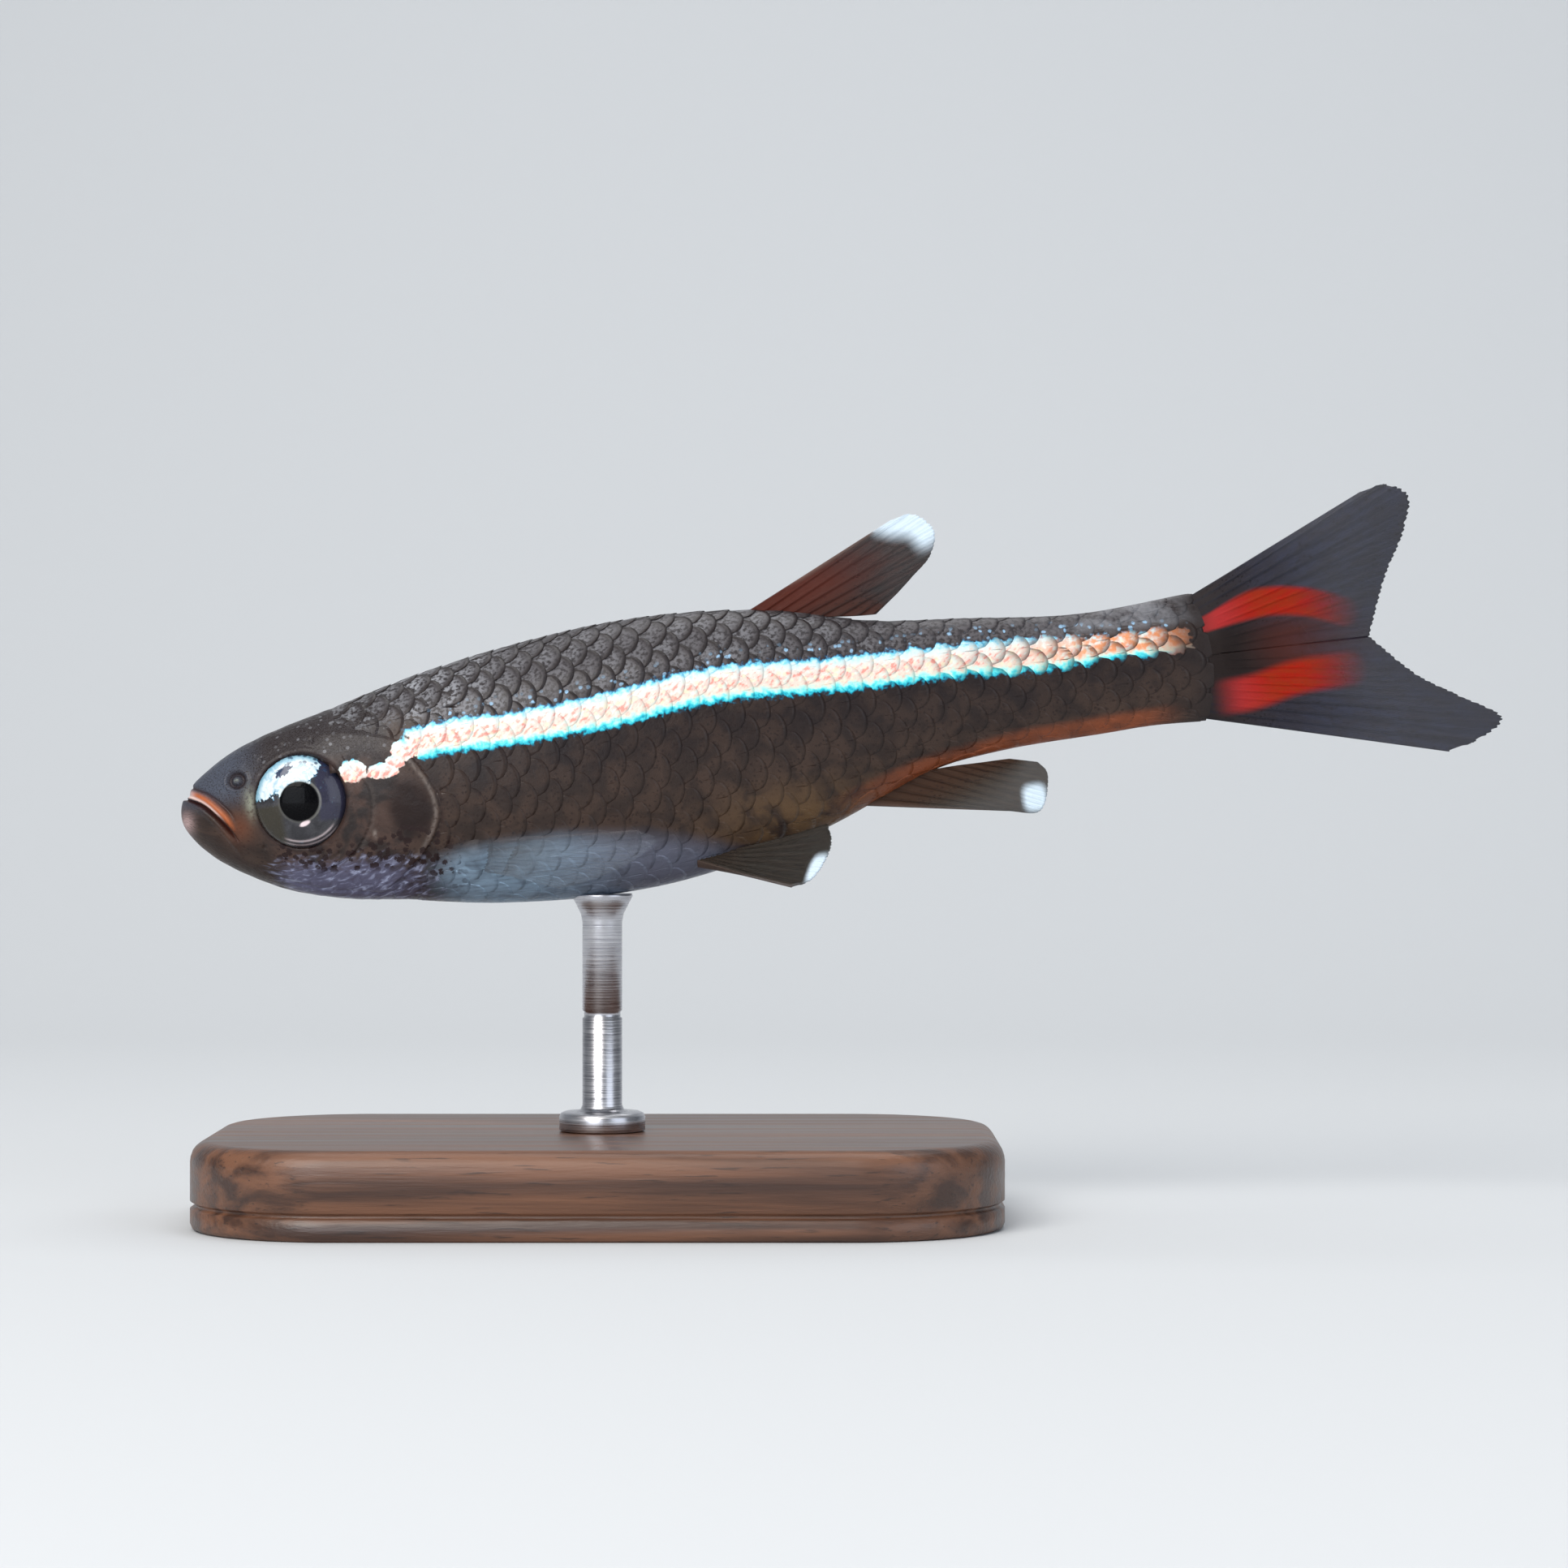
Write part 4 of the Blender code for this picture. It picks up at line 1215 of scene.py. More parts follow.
@dataclass(frozen=True)
class FinSet:
    """The sizes and places of all the fins."""

    body: BodyShape
    dorsal_base: tuple[float, float] = (18.38, 21.75)
    dorsal_margin: Points = (
        (22.5, 5.58), (23.15, 5.67), (23.75, 5.03), (23.53, 4.37), (22.9, 3.8), (22.35, 3.35),
    )
    anal_base: tuple[float, float] = (21.11, 25.11)
    anal_margin: Points = ((24.7, -3.64), (25.69, -3.77), (26.0, -3.1), (26.03, -2.6), (25.8, -2.3))
    upper_root: tuple[float, float] = (2.08, 0.1)
    upper_margin: Points = (
        (36.8, 4.4), (37.75, 4.47), (38.2, 4.12), (37.98, 3.2), (37.18, 1.82), (36.35, -0.04),
    )
    lower_root: tuple[float, float] = (-1.84, 0.15)
    lower_margin: Points = (
        (38.2, -3.82), (39.26, -3.55), (39.96, -3.13), (38.83, -2.22), (37.81, -1.53), (36.35, 0.01),
    )
    upper_sway: float = 1.2
    lower_sway: float = 0.4
    fork_sway: float = 0.8
    pelvic_root: Points = ((15.0, 0.95, -3.75), (15.45, 0.88, -3.75), (15.95, 0.8, -3.7))
    pelvic_margin: Points = (
        (17.9, 1.7, -4.93), (18.5, 1.72, -4.8), (18.95, 1.65, -4.38), (19.3, 1.5, -3.7), (19.25, 1.35, -3.2),
    )
    pectoral_root: Points = ((8.7, 1.7, -2.15), (8.8, 1.6, -2.6), (8.75, 1.35, -3.0))
    pectoral_margin: Points = (
        (13.7, 3.6, -2.55), (14.2, 3.65, -2.9), (13.6, 3.5, -3.35), (12.4, 3.15, -3.75), (11.1, 2.65, -3.95),
    )

    def upright(self, margin: Points) -> Curve:
        """The margin of a fin on the body's middle plane, from (along, up) points."""
        return smooth_path(tuple((along, 0.0, up) for along, up in margin))

    def median_root(self, base: tuple[float, float], edge: Curve, gap: float) -> Curve:
        """The root line of the dorsal or anal fin, just off the body.

        Args:
            base: Where the root starts and ends along the body.
            edge: The body's height there.
            gap: How far the root lies off the body.

        Returns:
            The root line.
        """

        def at(share: Array) -> Array:
            """Points of the root line."""
            along = base[0] + (base[1] - base[0]) * share
            return stacked(along, 0.0, edge(along) + gap)

        return at

    def tail_root(self, ends: tuple[float, float]) -> Curve:
        """The root line of one lobe of the tail fin, which follows the tail root's bulge.

        Args:
            ends: The heights at which it starts and ends.

        Returns:
            The root line.
        """
        body, end = self.body, np.array(self.body.length)
        top, middle, foot = body.back(end), body.waist(end), body.belly(end)

        def at(share: Array) -> Array:
            """Points of the root line.

            Args:
                share: Shares of the way along the line.

            Returns:
                The points.
            """
            up = ends[0] + (ends[1] - ends[0]) * share
            part = np.where(up > middle, (up - middle) / (top - middle), (up - middle) / (middle - foot))
            return stacked(body.length + body.tail_bulge * (1 - part**2) + GAP, 0.0, up)

        return at

    def stem_half(self, up: Array) -> Array:
        """Half the width of the tail stem's end at these heights."""
        return self.body.side_at(np.full(np.shape(up), self.body.length), up)

    def paired(self, points: Points, side: Side) -> Curve:
        """A line of a paired fin, on one side of the body."""
        return smooth_path(tuple((along, side.value * out, up) for along, out, up in points))

    def tail_lobe(self, name: str, root: tuple[float, float], margin: Points, sway: float) -> RayFin:
        """One lobe of the tail fin.

        Args:
            name: "upper" or "lower".
            root: The heights at which its root starts and ends.
            margin: Its margin.
            sway: How far its outer edge bends aside.

        Returns:
            The lobe.
        """
        return RayFin(
            f"tail_lobe_{name}", FinKind.TAIL, self.tail_root(root), self.upright(margin), 10,
            (f"tail_fin_{name}",), sway=(sway, self.fork_sway), root_half=self.stem_half, buried=0.1,
        )

    def fins(self) -> list[RayFin]:
        """All the fins.

        Returns:
            The fins, from the back round to the breast.
        """
        found = [
            RayFin("dorsal_fin_rays", FinKind.DORSAL, self.median_root(self.dorsal_base, self.body.back, GAP),
                   self.upright(self.dorsal_margin), 9, ("dorsal_fin",), buried=0.2),
            RayFin("anal_fin_rays", FinKind.ANAL, self.median_root(self.anal_base, self.body.belly, -GAP),
                   self.upright(self.anal_margin), 11, ("anal_fin",), buried=0.2),
            self.tail_lobe("upper", self.upper_root, self.upper_margin, self.upper_sway),
            self.tail_lobe("lower", self.lower_root, self.lower_margin, self.lower_sway),
        ]
        for side in Side:
            found.append(RayFin(
                f"pelvic_rays_{side.label}", FinKind.PELVIC, self.paired(self.pelvic_root, side),
                self.paired(self.pelvic_margin, side), 8, (f"pelvic_fin_{side.label}",), buried=0.1,
            ))
            found.append(RayFin(
                f"pectoral_rays_{side.label}", FinKind.PECTORAL, self.paired(self.pectoral_root, side),
                self.paired(self.pectoral_margin, side), 11, (f"pectoral_fin_{side.label}",), buried=0.08,
                thick_root=0.3,
            ))
        return found


@dataclass(frozen=True)
class DisplayStand:
    """A rounded wooden slab with a turned steel rod that carries the fish's belly."""

    body: BodyShape
    pose: FishPose
    long: float = 24.0
    deep: float = 15.0
    high: float = 2.6
    corner: float = 4.5
    corner_steps: int = 24
    foot_insets: tuple[float, ...] = (3.7, 1.9)
    top_insets: tuple[float, ...] = (1.5, 2.5, 3.5, 4.3)
    rod_along: float = 12.2
    rod_radius: float = 0.6
    collar_radius: float = 1.3
    collar_high: float = 0.6
    rod_sides: int = 64
    base_profile: Points = (
        (0.2, 0.0), (0.06, 0.06), (0.0, 0.2), (0.0, 0.62), (0.1, 0.68), (0.16, 0.74), (0.1, 0.8), (0.0, 0.86),
        (0.0, 2.0), (0.02, 2.15), (0.08, 2.32), (0.18, 2.45), (0.3, 2.54), (0.46, 2.59), (0.6, 2.6),
    )

    def touch(self) -> Array:
        """Where the rod meets the belly, in the world."""
        belly = float(self.body.belly(np.array(self.rod_along)))
        return self.pose.place(np.array([self.rod_along, 0.0, belly]))

    def outline(self, inset: float, height: float) -> Array:
        """The slab's outline at one height.

        Args:
            inset: How far it is moved inwards.
            height: The height above the floor.

        Returns:
            The points of the outline.
        """
        radius = self.corner - inset
        spots = []
        for quarter in range(4):
            middle_x = (self.long / 2 - self.corner) * (1 if quarter in (0, 3) else -1)
            middle_y = (self.deep / 2 - self.corner) * (1 if quarter in (0, 1) else -1)
            turns = math.pi / 2 * (quarter + np.linspace(0, 1, self.corner_steps))
            x, y = middle_x + radius * np.cos(turns), middle_y + radius * np.sin(turns)
            spots.append(stacked(x, y, height))
        return np.concatenate(spots)

    def turned(self, name: str, rings: list[Array], high: float, shift: float) -> Piece:
        """A closed form made of rings one over the other.

        Args:
            name: The piece's name.
            rings: The rings, from the foot to the top.
            high: The height of the top's middle point.
            shift: How far the form is moved from the origin along the fish.

        Returns:
            The piece.
        """
        points = np.concatenate(rings + [np.array([[0, 0, rings[0][0, 2]], [0, 0, high]])])
        points[:, 0] += shift
        return Piece(name, points, *closed_rings(len(rings), len(rings[0])))

    def build_base(self, material: Material) -> Thing:
        """Makes the wooden slab.

        Args:
            material: Its material.

        Returns:
            The new object.
        """
        profile = [(inset, 0.0) for inset in self.foot_insets] + list(self.base_profile)
        profile += [(inset, self.high) for inset in self.top_insets]
        rings = [self.outline(inset, height) for inset, height in profile]
        piece = self.turned("base_slab", rings, self.high, self.touch()[0])
        piece.values["place"] = piece.points
        return piece.build(Slot.WOOD, ("stand_base",), material)

    def build_rod(self, material: Material) -> Thing:
        """Makes the rod with its collar and the small cup under the belly.

        Args:
            material: Its material.

        Returns:
            The new object.
        """
        top = self.touch()
        foot, rod, collar, step = self.high, self.rod_radius, self.collar_radius, self.collar_high
        bare = top[2] - foot
        half = bare / 2
        profile = [
            (collar - 0.08, 0.0), (collar, 0.06), (collar, step - 0.16), (collar - 0.05, step - 0.05),
            (collar - 0.16, step), (rod + 0.22, step), (rod + 0.06, step + 0.06), (rod, step + 0.2),
            (rod, half - 0.12), (rod - 0.05, half - 0.08), (rod - 0.05, half + 0.08), (rod, half + 0.12),
            (rod, bare - 0.75), (rod + 0.05, bare - 0.5), (rod + 0.2, bare - 0.2),
            (rod + 0.32, bare + 0.03), (rod + 0.3, bare + 0.1),
        ]
        turns = 2 * math.pi * np.arange(self.rod_sides) / self.rod_sides
        rings = [stacked(far * np.cos(turns), far * np.sin(turns), foot + up) for far, up in profile]
        piece = self.turned("support_rod", rings, foot + bare + 0.02, top[0])
        piece.values["place"] = piece.points - np.array([top[0], 0, 0])
        return piece.build(Slot.STEEL, ("stand_rod",), material)


def tone(red: float, green: float, blue: float) -> tuple[float, ...]:
    """A colour from its screen values, 0 to 255, as the renderer's own."""
    screen = np.array([red, green, blue]) / 255
    return (*np.where(screen <= 0.04045, screen / 12.92, ((screen + 0.055) / 1.055) ** 2.4).tolist(), 1.0)


class NodeBoard:
    """A material's node tree, with short ways to add to it."""

    MIX_UNDER, MIX_OVER, MIX_RESULT = 6, 7, 2  # the places of a mix node's colour sockets

    def __init__(self, name: str) -> None:
        """Starts a material with one shader.

        Args:
            name: The material's name.
        """
        self.material = bpy.data.materials.new(name)
        self.material.use_nodes = True
        self.tree = self.material.node_tree
        self.tree.nodes.clear()
        self.shader = self.add("BsdfPrincipled", {})
        self.add("OutputMaterial", {"Surface": self.shader.outputs[0]})
        self.paint: object = (0, 0, 0)  # the colour so far

    def add(self, kind: str, sources: dict[str | int, object], **settings: object) -> bpy.types.Node:
        """Adds a node and gives its sockets their sources.

        Args:
            kind: Its type.
            sources: Other nodes' outputs or plain values, by the sockets' names or places.
            settings: The node's settings by name.

        Returns:
            The node.
        """
        node = self.tree.nodes.new("ShaderNode" + kind)
        for name, value in settings.items():
            setattr(node, name, value)
        self.feed(node, sources)
        return node

    def feed(self, node: bpy.types.Node, sources: dict[str | int, object]) -> None:
        """Gives a node's sockets their sources.

        Args:
            node: The node.
            sources: Other nodes' outputs or plain values, by the sockets' names or places.
        """
        for name, source in sources.items():
            if isinstance(source, Socket):
                self.tree.links.new(source, node.inputs[name])
            else:
                node.inputs[name].default_value = source

    def set(self, **sources: object) -> None:
        """Gives the shader's sockets their sources. A socket's name has _ for each space."""
        self.feed(self.shader, {name.replace("_", " "): source for name, source in sources.items()})

    def vector(self, attribute: str) -> Socket:
        """A vector that the mesh holds at its points."""
        return self.add("Attribute", {}, attribute_name=attribute).outputs["Vector"]

    def parts(self, attribute: str) -> list[Socket]:
        """The three numbers of a vector that the mesh holds."""
        return list(self.add("SeparateXYZ", {0: self.vector(attribute)}).outputs)

    def stretched(self, vector: object, scale: tuple[float, float, float], lean: float = 0.0) -> Socket:
        """A vector turned by lean in its first two numbers and then scaled."""
        turned = self.add("VectorRotate", {"Vector": vector, "Angle": lean}, rotation_type="Z_AXIS")
        return self.add("VectorMath", {0: turned.outputs[0], 1: scale}, operation="MULTIPLY").outputs[0]

    def noise(self, vector: object, scale: float, detail: float = 4.0, warp: float = 0.0) -> Socket:
        """Cloudy noise, about 0.5 with a spread of about 0.2."""
        sources = {"Vector": vector, "Scale": scale, "Detail": detail, "Distortion": warp}
        return self.add("TexNoise", sources).outputs["Fac"]

    def cells(self, vector: object, scale: float) -> tuple[Socket, Socket]:
        """Scattered points: the distance to the nearest, and its own chance colour."""
        node = self.add("TexVoronoi", {"Vector": vector, "Scale": scale})
        return node.outputs["Distance"], node.outputs["Color"]

    def calc(self, operation: str, first: object, second: object) -> Socket:
        """One sum on two numbers."""
        return self.add("Math", {0: first, 1: second}, operation=operation).outputs[0]

    def times(self, *factors: object) -> Socket:
        """The product of several numbers."""
        return reduce(lambda product, factor: self.calc("MULTIPLY", product, factor), factors)

    def fit(self, value: object, low: float, high: float, to_low: float = 0, to_high: float = 1) -> Socket:
        """Goes smoothly from to_low to to_high as the value goes from low to high."""
        sources = {"Value": value, "From Min": low, "From Max": high, "To Min": to_low, "To Max": to_high}
        return self.add("MapRange", sources, interpolation_type="SMOOTHSTEP").outputs["Result"]

    def mix(self, factor: object, under: object, over: object) -> Socket:
        """A colour laid over another by a factor.

        Args:
            factor: How much of it.
            under: The colour below, as a socket or as screen values.
            over: The colour above, likewise.

        Returns:
            The new colour.
        """
        sources = {"Factor": factor, self.MIX_UNDER: under, self.MIX_OVER: over}
        for place, colour in sources.items():
            if isinstance(colour, tuple):
                sources[place] = tone(*colour)
        return self.add("Mix", sources, data_type="RGBA").outputs[self.MIX_RESULT]

    def lay(self, colour: object, *shares: object) -> None:
        """Lays a colour over the paint so far, by the product of some shares."""
        self.paint = self.mix(self.times(*shares), self.paint, colour)

    def ramp(self, value: object, stops: tuple[tuple[float, Rgb], ...]) -> Socket:
        """Colours by a value.

        Args:
            value: The value.
            stops: Places with screen values.

        Returns:
            The colour.
        """
        node = self.add("ValToRGB", {"Fac": value})
        band = node.color_ramp
        while len(band.elements) < len(stops):
            band.elements.new(0.5)
        for element, (place, colour) in zip(band.elements, stops):
            element.position = place
            element.color = tone(*colour)
        return node.outputs["Color"]

    def bump(self, height: object, distance: float) -> Socket:
        """A normal from a height, whose full range is this distance in millimetres."""
        return self.add("Bump", {"Height": height, "Distance": distance * MM}).outputs["Normal"]


class FishBoard(NodeBoard):
    """The board of the fish's finish, with the places and noises that all its parts read."""

    def __init__(self, name: str) -> None:
        """Starts the material.

        Args:
            name: The material's name.
        """
        super().__init__(name)
        self.flat = self.vector("flat")
        self.along, _, _ = self.parts("flat")
        self.back, self.silver, self.amber = self.parts("flank")
        self.cheek, self.snout, self.throat = self.parts("head")
        # lips: colour of the lips, painted shade in the mouth's creases, painted shine on the lips
        self.lip, self.seam, self.shine = self.parts("lips")
        # lines: pale lines and painted glints, painted shade in the head's creases, dark specks
        self.pale, self.dark, self.specks = self.parts("lines")
        self.vent, self.crown, self.oval = self.parts("more")
        self.across, self.present, self.above = self.parts("band")
        self.cloud = self.noise(self.flat, 1.2, 6.0, 0.6)
        self.grain = self.noise(self.flat, 8.0, 4.0)
        self.fine = self.noise(self.flat, 22.0, 3.0)


@dataclass(frozen=True)
class FishFinish:
    """The wet, freckled, part-silvered surface that the skin and the scales share."""

    name: str
    scaled: bool
    flank_dark: Rgb = (44, 34, 30)
    flank_warm: Rgb = (60, 46, 39)
    freckle: Rgb = (34, 23, 20)
    back_dark: Rgb = (50, 47, 49)
    back_pale: Rgb = (80, 77, 80)
    # pale grey of the crown's pale dots, and of the painted glints and the painted highlight on the back's
    # scales
    pale_grey_and_glint: Rgb = (148, 150, 156)
    net: Rgb = (34, 27, 26)
    silver_blue: Rgb = (142, 168, 190)
    silver_violet: Rgb = (104, 108, 124)
    silver_thread: Rgb = (88, 96, 110)
    amber: Rgb = (96, 73, 48)
    crown: Rgb = (54, 50, 52)
    cheek: Rgb = (42, 36, 35)
    cheek_warm: Rgb = (70, 54, 48)
    cheek_oval: Rgb = (30, 18, 16)
    snout: Rgb = (72, 77, 89)
    throat: Rgb = (92, 92, 114)
    # colour of the painted highlights on the throat
    throat_highlight: Rgb = (156, 162, 188)
    lip: Rgb = (164, 88, 48)
    # colour of the painted shade in the mouth's slit and in the groove above the upper lip
    seam: Rgb = (46, 18, 14)
    # colour of the painted shine on the upper lip
    shine: Rgb = (246, 214, 204)
    jaw_pale: Rgb = (200, 172, 170)
    eye_front: Rgb = (146, 150, 134)
    pale_line: Rgb = (130, 120, 114)
    # for the dark specks and for the painted shade in the head's creases
    speck_and_crease_shade: Rgb = (34, 20, 20)
    vent_line: Rgb = (132, 68, 38)
    stripe: tuple[tuple[float, Rgb], ...] = (
        (0.0, (10, 84, 112)), (0.06, (30, 168, 190)), (0.13, (92, 216, 220)), (0.21, (186, 226, 214)),
        (0.29, (216, 206, 192)), (0.5, (220, 194, 184)), (0.68, (218, 208, 200)), (0.84, (198, 222, 224)),
        (0.93, (110, 196, 224)), (1.0, (28, 96, 146)),
    )
    stripe_pink: Rgb = (220, 140, 128)
    stripe_white: Rgb = (210, 226, 218)
    # colour of the painted glints in the stripe
    stripe_glint_cream: Rgb = (226, 216, 188)
    stripe_orange: Rgb = (220, 146, 104)
    tail_dark: Rgb = (36, 29, 28)
    under_stripe: Rgb = (28, 22, 24)
    stripe_last: Rgb = (158, 98, 66)
    # colour of the painted blue glints above the stripe
    blue_glints: Rgb = (150, 190, 222)

    def material(self) -> Material:
        """Builds the material.

        Returns:
            The material.
        """
        board = FishBoard(self.name)
        self.lay_ground(board)
        self.lay_head(board)
        if self.scaled:
            self.lay_net(board)
        self.lay_lines(board)
        shows = self.lay_stripe(board)
        self.lay_ends(board)
        self.wet(board, shows)
        return board.material

    def lay_ground(self, board: FishBoard) -> None:
        """Lays flank, back and belly and the shade under the stripe.

        Args:
            board: The material's nodes.
        """
        cloud, grain, below = board.cloud, board.grain, board.across
        dots, _ = board.cells(board.flat, 7.5)
        board.paint = board.mix(board.fit(cloud, 0.36, 0.64), self.flank_dark, self.flank_warm)
        board.lay(self.freckle, board.fit(dots, 0.42, 0.2), board.fit(grain, 0.4, 0.55), 0.75)
        board.lay(board.mix(board.fit(grain, 0.36, 0.62), self.back_dark, self.back_pale), board.back)
        board.lay(self.amber, board.amber, board.fit(cloud, 0.3, 0.6), 0.8)
        silver = board.mix(board.fit(board.along, 9.4, 14.0), self.silver_blue, self.silver_violet)
        thread = board.noise(board.stretched(board.flat, (0.7, 6.0, 1.0)), 1.6, 3.0)
        silver = board.mix(board.fit(thread, 0.42, 0.7, 0.0, 0.4), silver, self.silver_thread)
        board.lay(silver, board.silver, board.fit(cloud, 0.3, 0.5, 0.7, 1.0))
        board.lay(self.under_stripe, board.fit(below, -2.0, -0.1), board.fit(below, 1.2, 0.6),
                  board.fit(board.along, 7.5, 9.5), board.fit(cloud, 0.3, 0.6, 0.85, 0.5))

    def lay_head(self, board: FishBoard) -> None:
        """Lays crown, snout, cheek and throat, with painted highlights in patches on the throat.

        Args:
            board: The material's nodes.
        """
        fine = board.fine
        crown = board.mix(board.fit(fine, 0.45, 0.6), self.crown, self.net)
        pits, chance = board.cells(board.flat, 5.0)
        pale_dots = board.times(board.fit(pits, 0.34, 0.2), board.fit(chance, 0.3, 0.9), 0.4)
        board.lay(board.mix(pale_dots, crown, self.pale_grey_and_glint), board.crown)
        board.lay(board.mix(board.fit(fine, 0.5, 0.65), self.snout, self.net), board.snout)
        board.lay(board.mix(board.fit(board.cloud, 0.38, 0.62), self.cheek, self.cheek_warm), board.cheek)
        board.lay(self.cheek_oval, board.oval, 0.85)
        patch = board.noise(board.stretched(board.flat, (1.0, 2.2, 1.0), math.radians(-20)), 2.6, 5.0, 0.8)
        # the pale patches on the throat are painted highlights
        throat = board.mix(board.fit(patch, 0.5, 0.74), self.throat, self.throat_highlight)
        edge = board.calc("ADD", board.throat, board.fit(patch, 0.3, 0.7, -0.3, 0.3))
        board.lay(throat, board.fit(board.throat, 0.0, 0.3), board.fit(edge, 0.1, 1.05))

    def lay_net(self, board: FishBoard) -> None:
        """Lays the dark rims of the scales, which make the net on the back, painted glints on the middles of
        the back's scales and a painted highlight along the back before the tail.

        Args:
            board: The material's nodes.
        """
        along, back, grain = board.along, board.back, board.grain
        rim, mark, _ = board.parts("scale")
        edge = board.calc("ADD", rim, board.fit(grain, 0.3, 0.7, -0.06, 0.06))
        nape = board.fit(along, 4.4, 5.7)
        board.lay(self.net, board.fit(edge, 0.74, 0.93), board.fit(back, 0.0, 1.0, 0.05, 0.9), nape,
                  board.fit(along, 25.0, 17.0, 0.2, 1.0))
        # a painted highlight along the back before the tail
        sheen = board.times(back, board.fit(along, 25.5, 28.5), board.fit(board.cloud, 0.35, 0.6), 0.4)
        # painted glints on the middles of the back's scales
        glow = board.times(board.fit(rim, 0.84, 0.58), board.fit(mark, 0.0, 1.0, 0.3, 0.9), back, nape,
                           board.fit(grain, 0.4, 0.58), board.fit(along, 7.0, 12.0, 0.9, 0.3),
                           board.fit(along, 24.0, 19.0, 0.25, 1.0))
        board.lay(self.pale_grey_and_glint, board.calc("MAXIMUM", glow, sheen))

    def lay_lines(self, board: FishBoard) -> None:
        """Lays the vent line, the pale lines and painted glints of the head, the painted shade in its creases
        and the dark specks.

        Args:
            board: The material's nodes.
        """
        board.lay(self.vent_line, board.vent, board.fit(board.cloud, 0.3, 0.6, 0.45, 0.8))
        pale = board.mix(board.fit(board.along, 2.9, 4.4), self.eye_front, self.pale_line)
        pale = board.mix(board.fit(board.along, 1.7, 1.0), pale, self.jaw_pale)
        # pale lines of the head, with painted glints on the nostril, the jaw's tip and the lower cheek
        board.lay(pale, board.pale, board.fit(board.grain, 0.35, 0.52, 0.3, 0.9))
        # painted shade in the creases of gill cover, jaw, nostril and eye socket
        board.lay(self.speck_and_crease_shade, board.dark, 0.85)
        gap, _ = board.cells(board.flat, 4.6)
        edge = board.calc("ADD", gap, board.fit(board.fine, 0.3, 0.7, -0.08, 0.08))
        board.lay(self.speck_and_crease_shade, board.specks, board.fit(edge, 0.5, 0.4), 0.9)

    def lay_stripe(self, board: FishBoard) -> Socket:
        """Lays the bright stripe with painted glints in it, and painted blue glints above it.

        Args:
            board: The material's nodes.

        Returns:
            How far the stripe shows.
        """
        along, wave = board.along, board.noise(board.flat, 5.0, 2.0)
        across = board.calc("ADD", board.across, board.fit(wave, 0.25, 0.75, -0.075, 0.075))
        present = board.calc("ADD", board.present, board.fit(wave, 0.3, 0.7, -0.3, 0.3))
        shows = board.times(board.fit(present, 0.35, 0.65), board.fit(across, -0.04, 0.05),
                            board.fit(across, 1.03, 0.94))
        if self.scaled:
            rim, _, _ = board.parts("scale")
            gap = board.times(board.fit(rim, 0.62, 0.95), board.fit(along, 21, 27, 0.0, 0.75))
            shows = board.times(shows, board.calc("SUBTRACT", 1.0, gap))
        streak = board.noise(board.stretched(board.flat, (1.0, 2.0, 1.0), math.radians(-36)), 4.2, 4.0)
        spots, chance = board.cells(board.flat, 5.5)
        # scattered painted glints in the stripe's middle
        lit = board.times(board.fit(spots, 0.5, 0.3), board.fit(chance, 0.35, 0.6), 0.8)
        middle = board.times(board.fit(across, 0.2, 0.4), board.fit(across, 0.85, 0.6))
        pink = board.fit(board.calc("ADD", streak, board.fit(along, 12.0, 8.0, 0.0, 0.05)), 0.52, 0.63)
        body, board.paint = board.paint, board.ramp(across, self.stripe)
        board.lay(self.stripe_pink, middle, pink, 0.9)
        board.lay(self.stripe_white, middle, board.fit(streak, 0.48, 0.38), 0.7)
        board.lay(self.stripe_glint_cream, lit, middle)
        board.lay(self.stripe_orange, board.fit(along, 24.5, 28.5), board.fit(across, 0.2, 0.4),
                  board.fit(wave, 0.35, 0.6))
        board.lay(self.stripe_last, board.fit(along, 29.2, 30.3), 0.8)
        board.paint = board.mix(shows, body, board.paint)
        edge = board.calc("ADD", spots, board.fit(board.grain, 0.3, 0.7, -0.12, 0.12))
        # painted blue glints in the band above the stripe
        board.lay(self.blue_glints, board.above, board.fit(edge, 0.42, 0.24), board.fit(chance, 0.45, 0.6), 0.85)
        return shows

    def lay_ends(self, board: FishBoard) -> None:
        """Lays the dark tail root, the lips, the painted shine on them and the painted shade in the mouth's
        slit and in the groove above the upper lip.

        Args:
            board: The material's nodes.
        """
        board.lay(self.tail_dark, board.fit(board.along, 29.8, 31.1), 0.9)
        board.lay(board.mix(board.fit(board.along, 0.75, 0.3), self.lip, self.jaw_pale), board.lip)
        # painted shine on the lips
        board.lay(self.shine, board.shine, 0.85)
        # painted shade in the mouth's slit and in the groove above the upper lip
        board.lay(self.seam, board.seam)

    def wet(self, board: FishBoard, shows: Socket) -> None:
        """Gives the surface its gloss, its fine relief and a faint painted glow of the stripe, made by
        emission.

        Args:
            board: The material's nodes.
            shows: How far the stripe shows.
        """
        metal = board.calc("MAXIMUM", board.times(board.silver, 0.35), board.times(shows, 0.1))
        mottle = board.noise(board.flat, 3.4, 6.0, 0.5)
        head = board.calc("MAXIMUM", board.cheek, board.calc("MAXIMUM", board.crown, board.throat))
        height = board.calc("ADD", board.times(board.fine, 0.5), board.grain)
        height = board.calc("ADD", height, board.times(head, mottle, 2.6))
        rough = board.fit(board.grain, 0.3, 0.7, 0.3, 0.48)
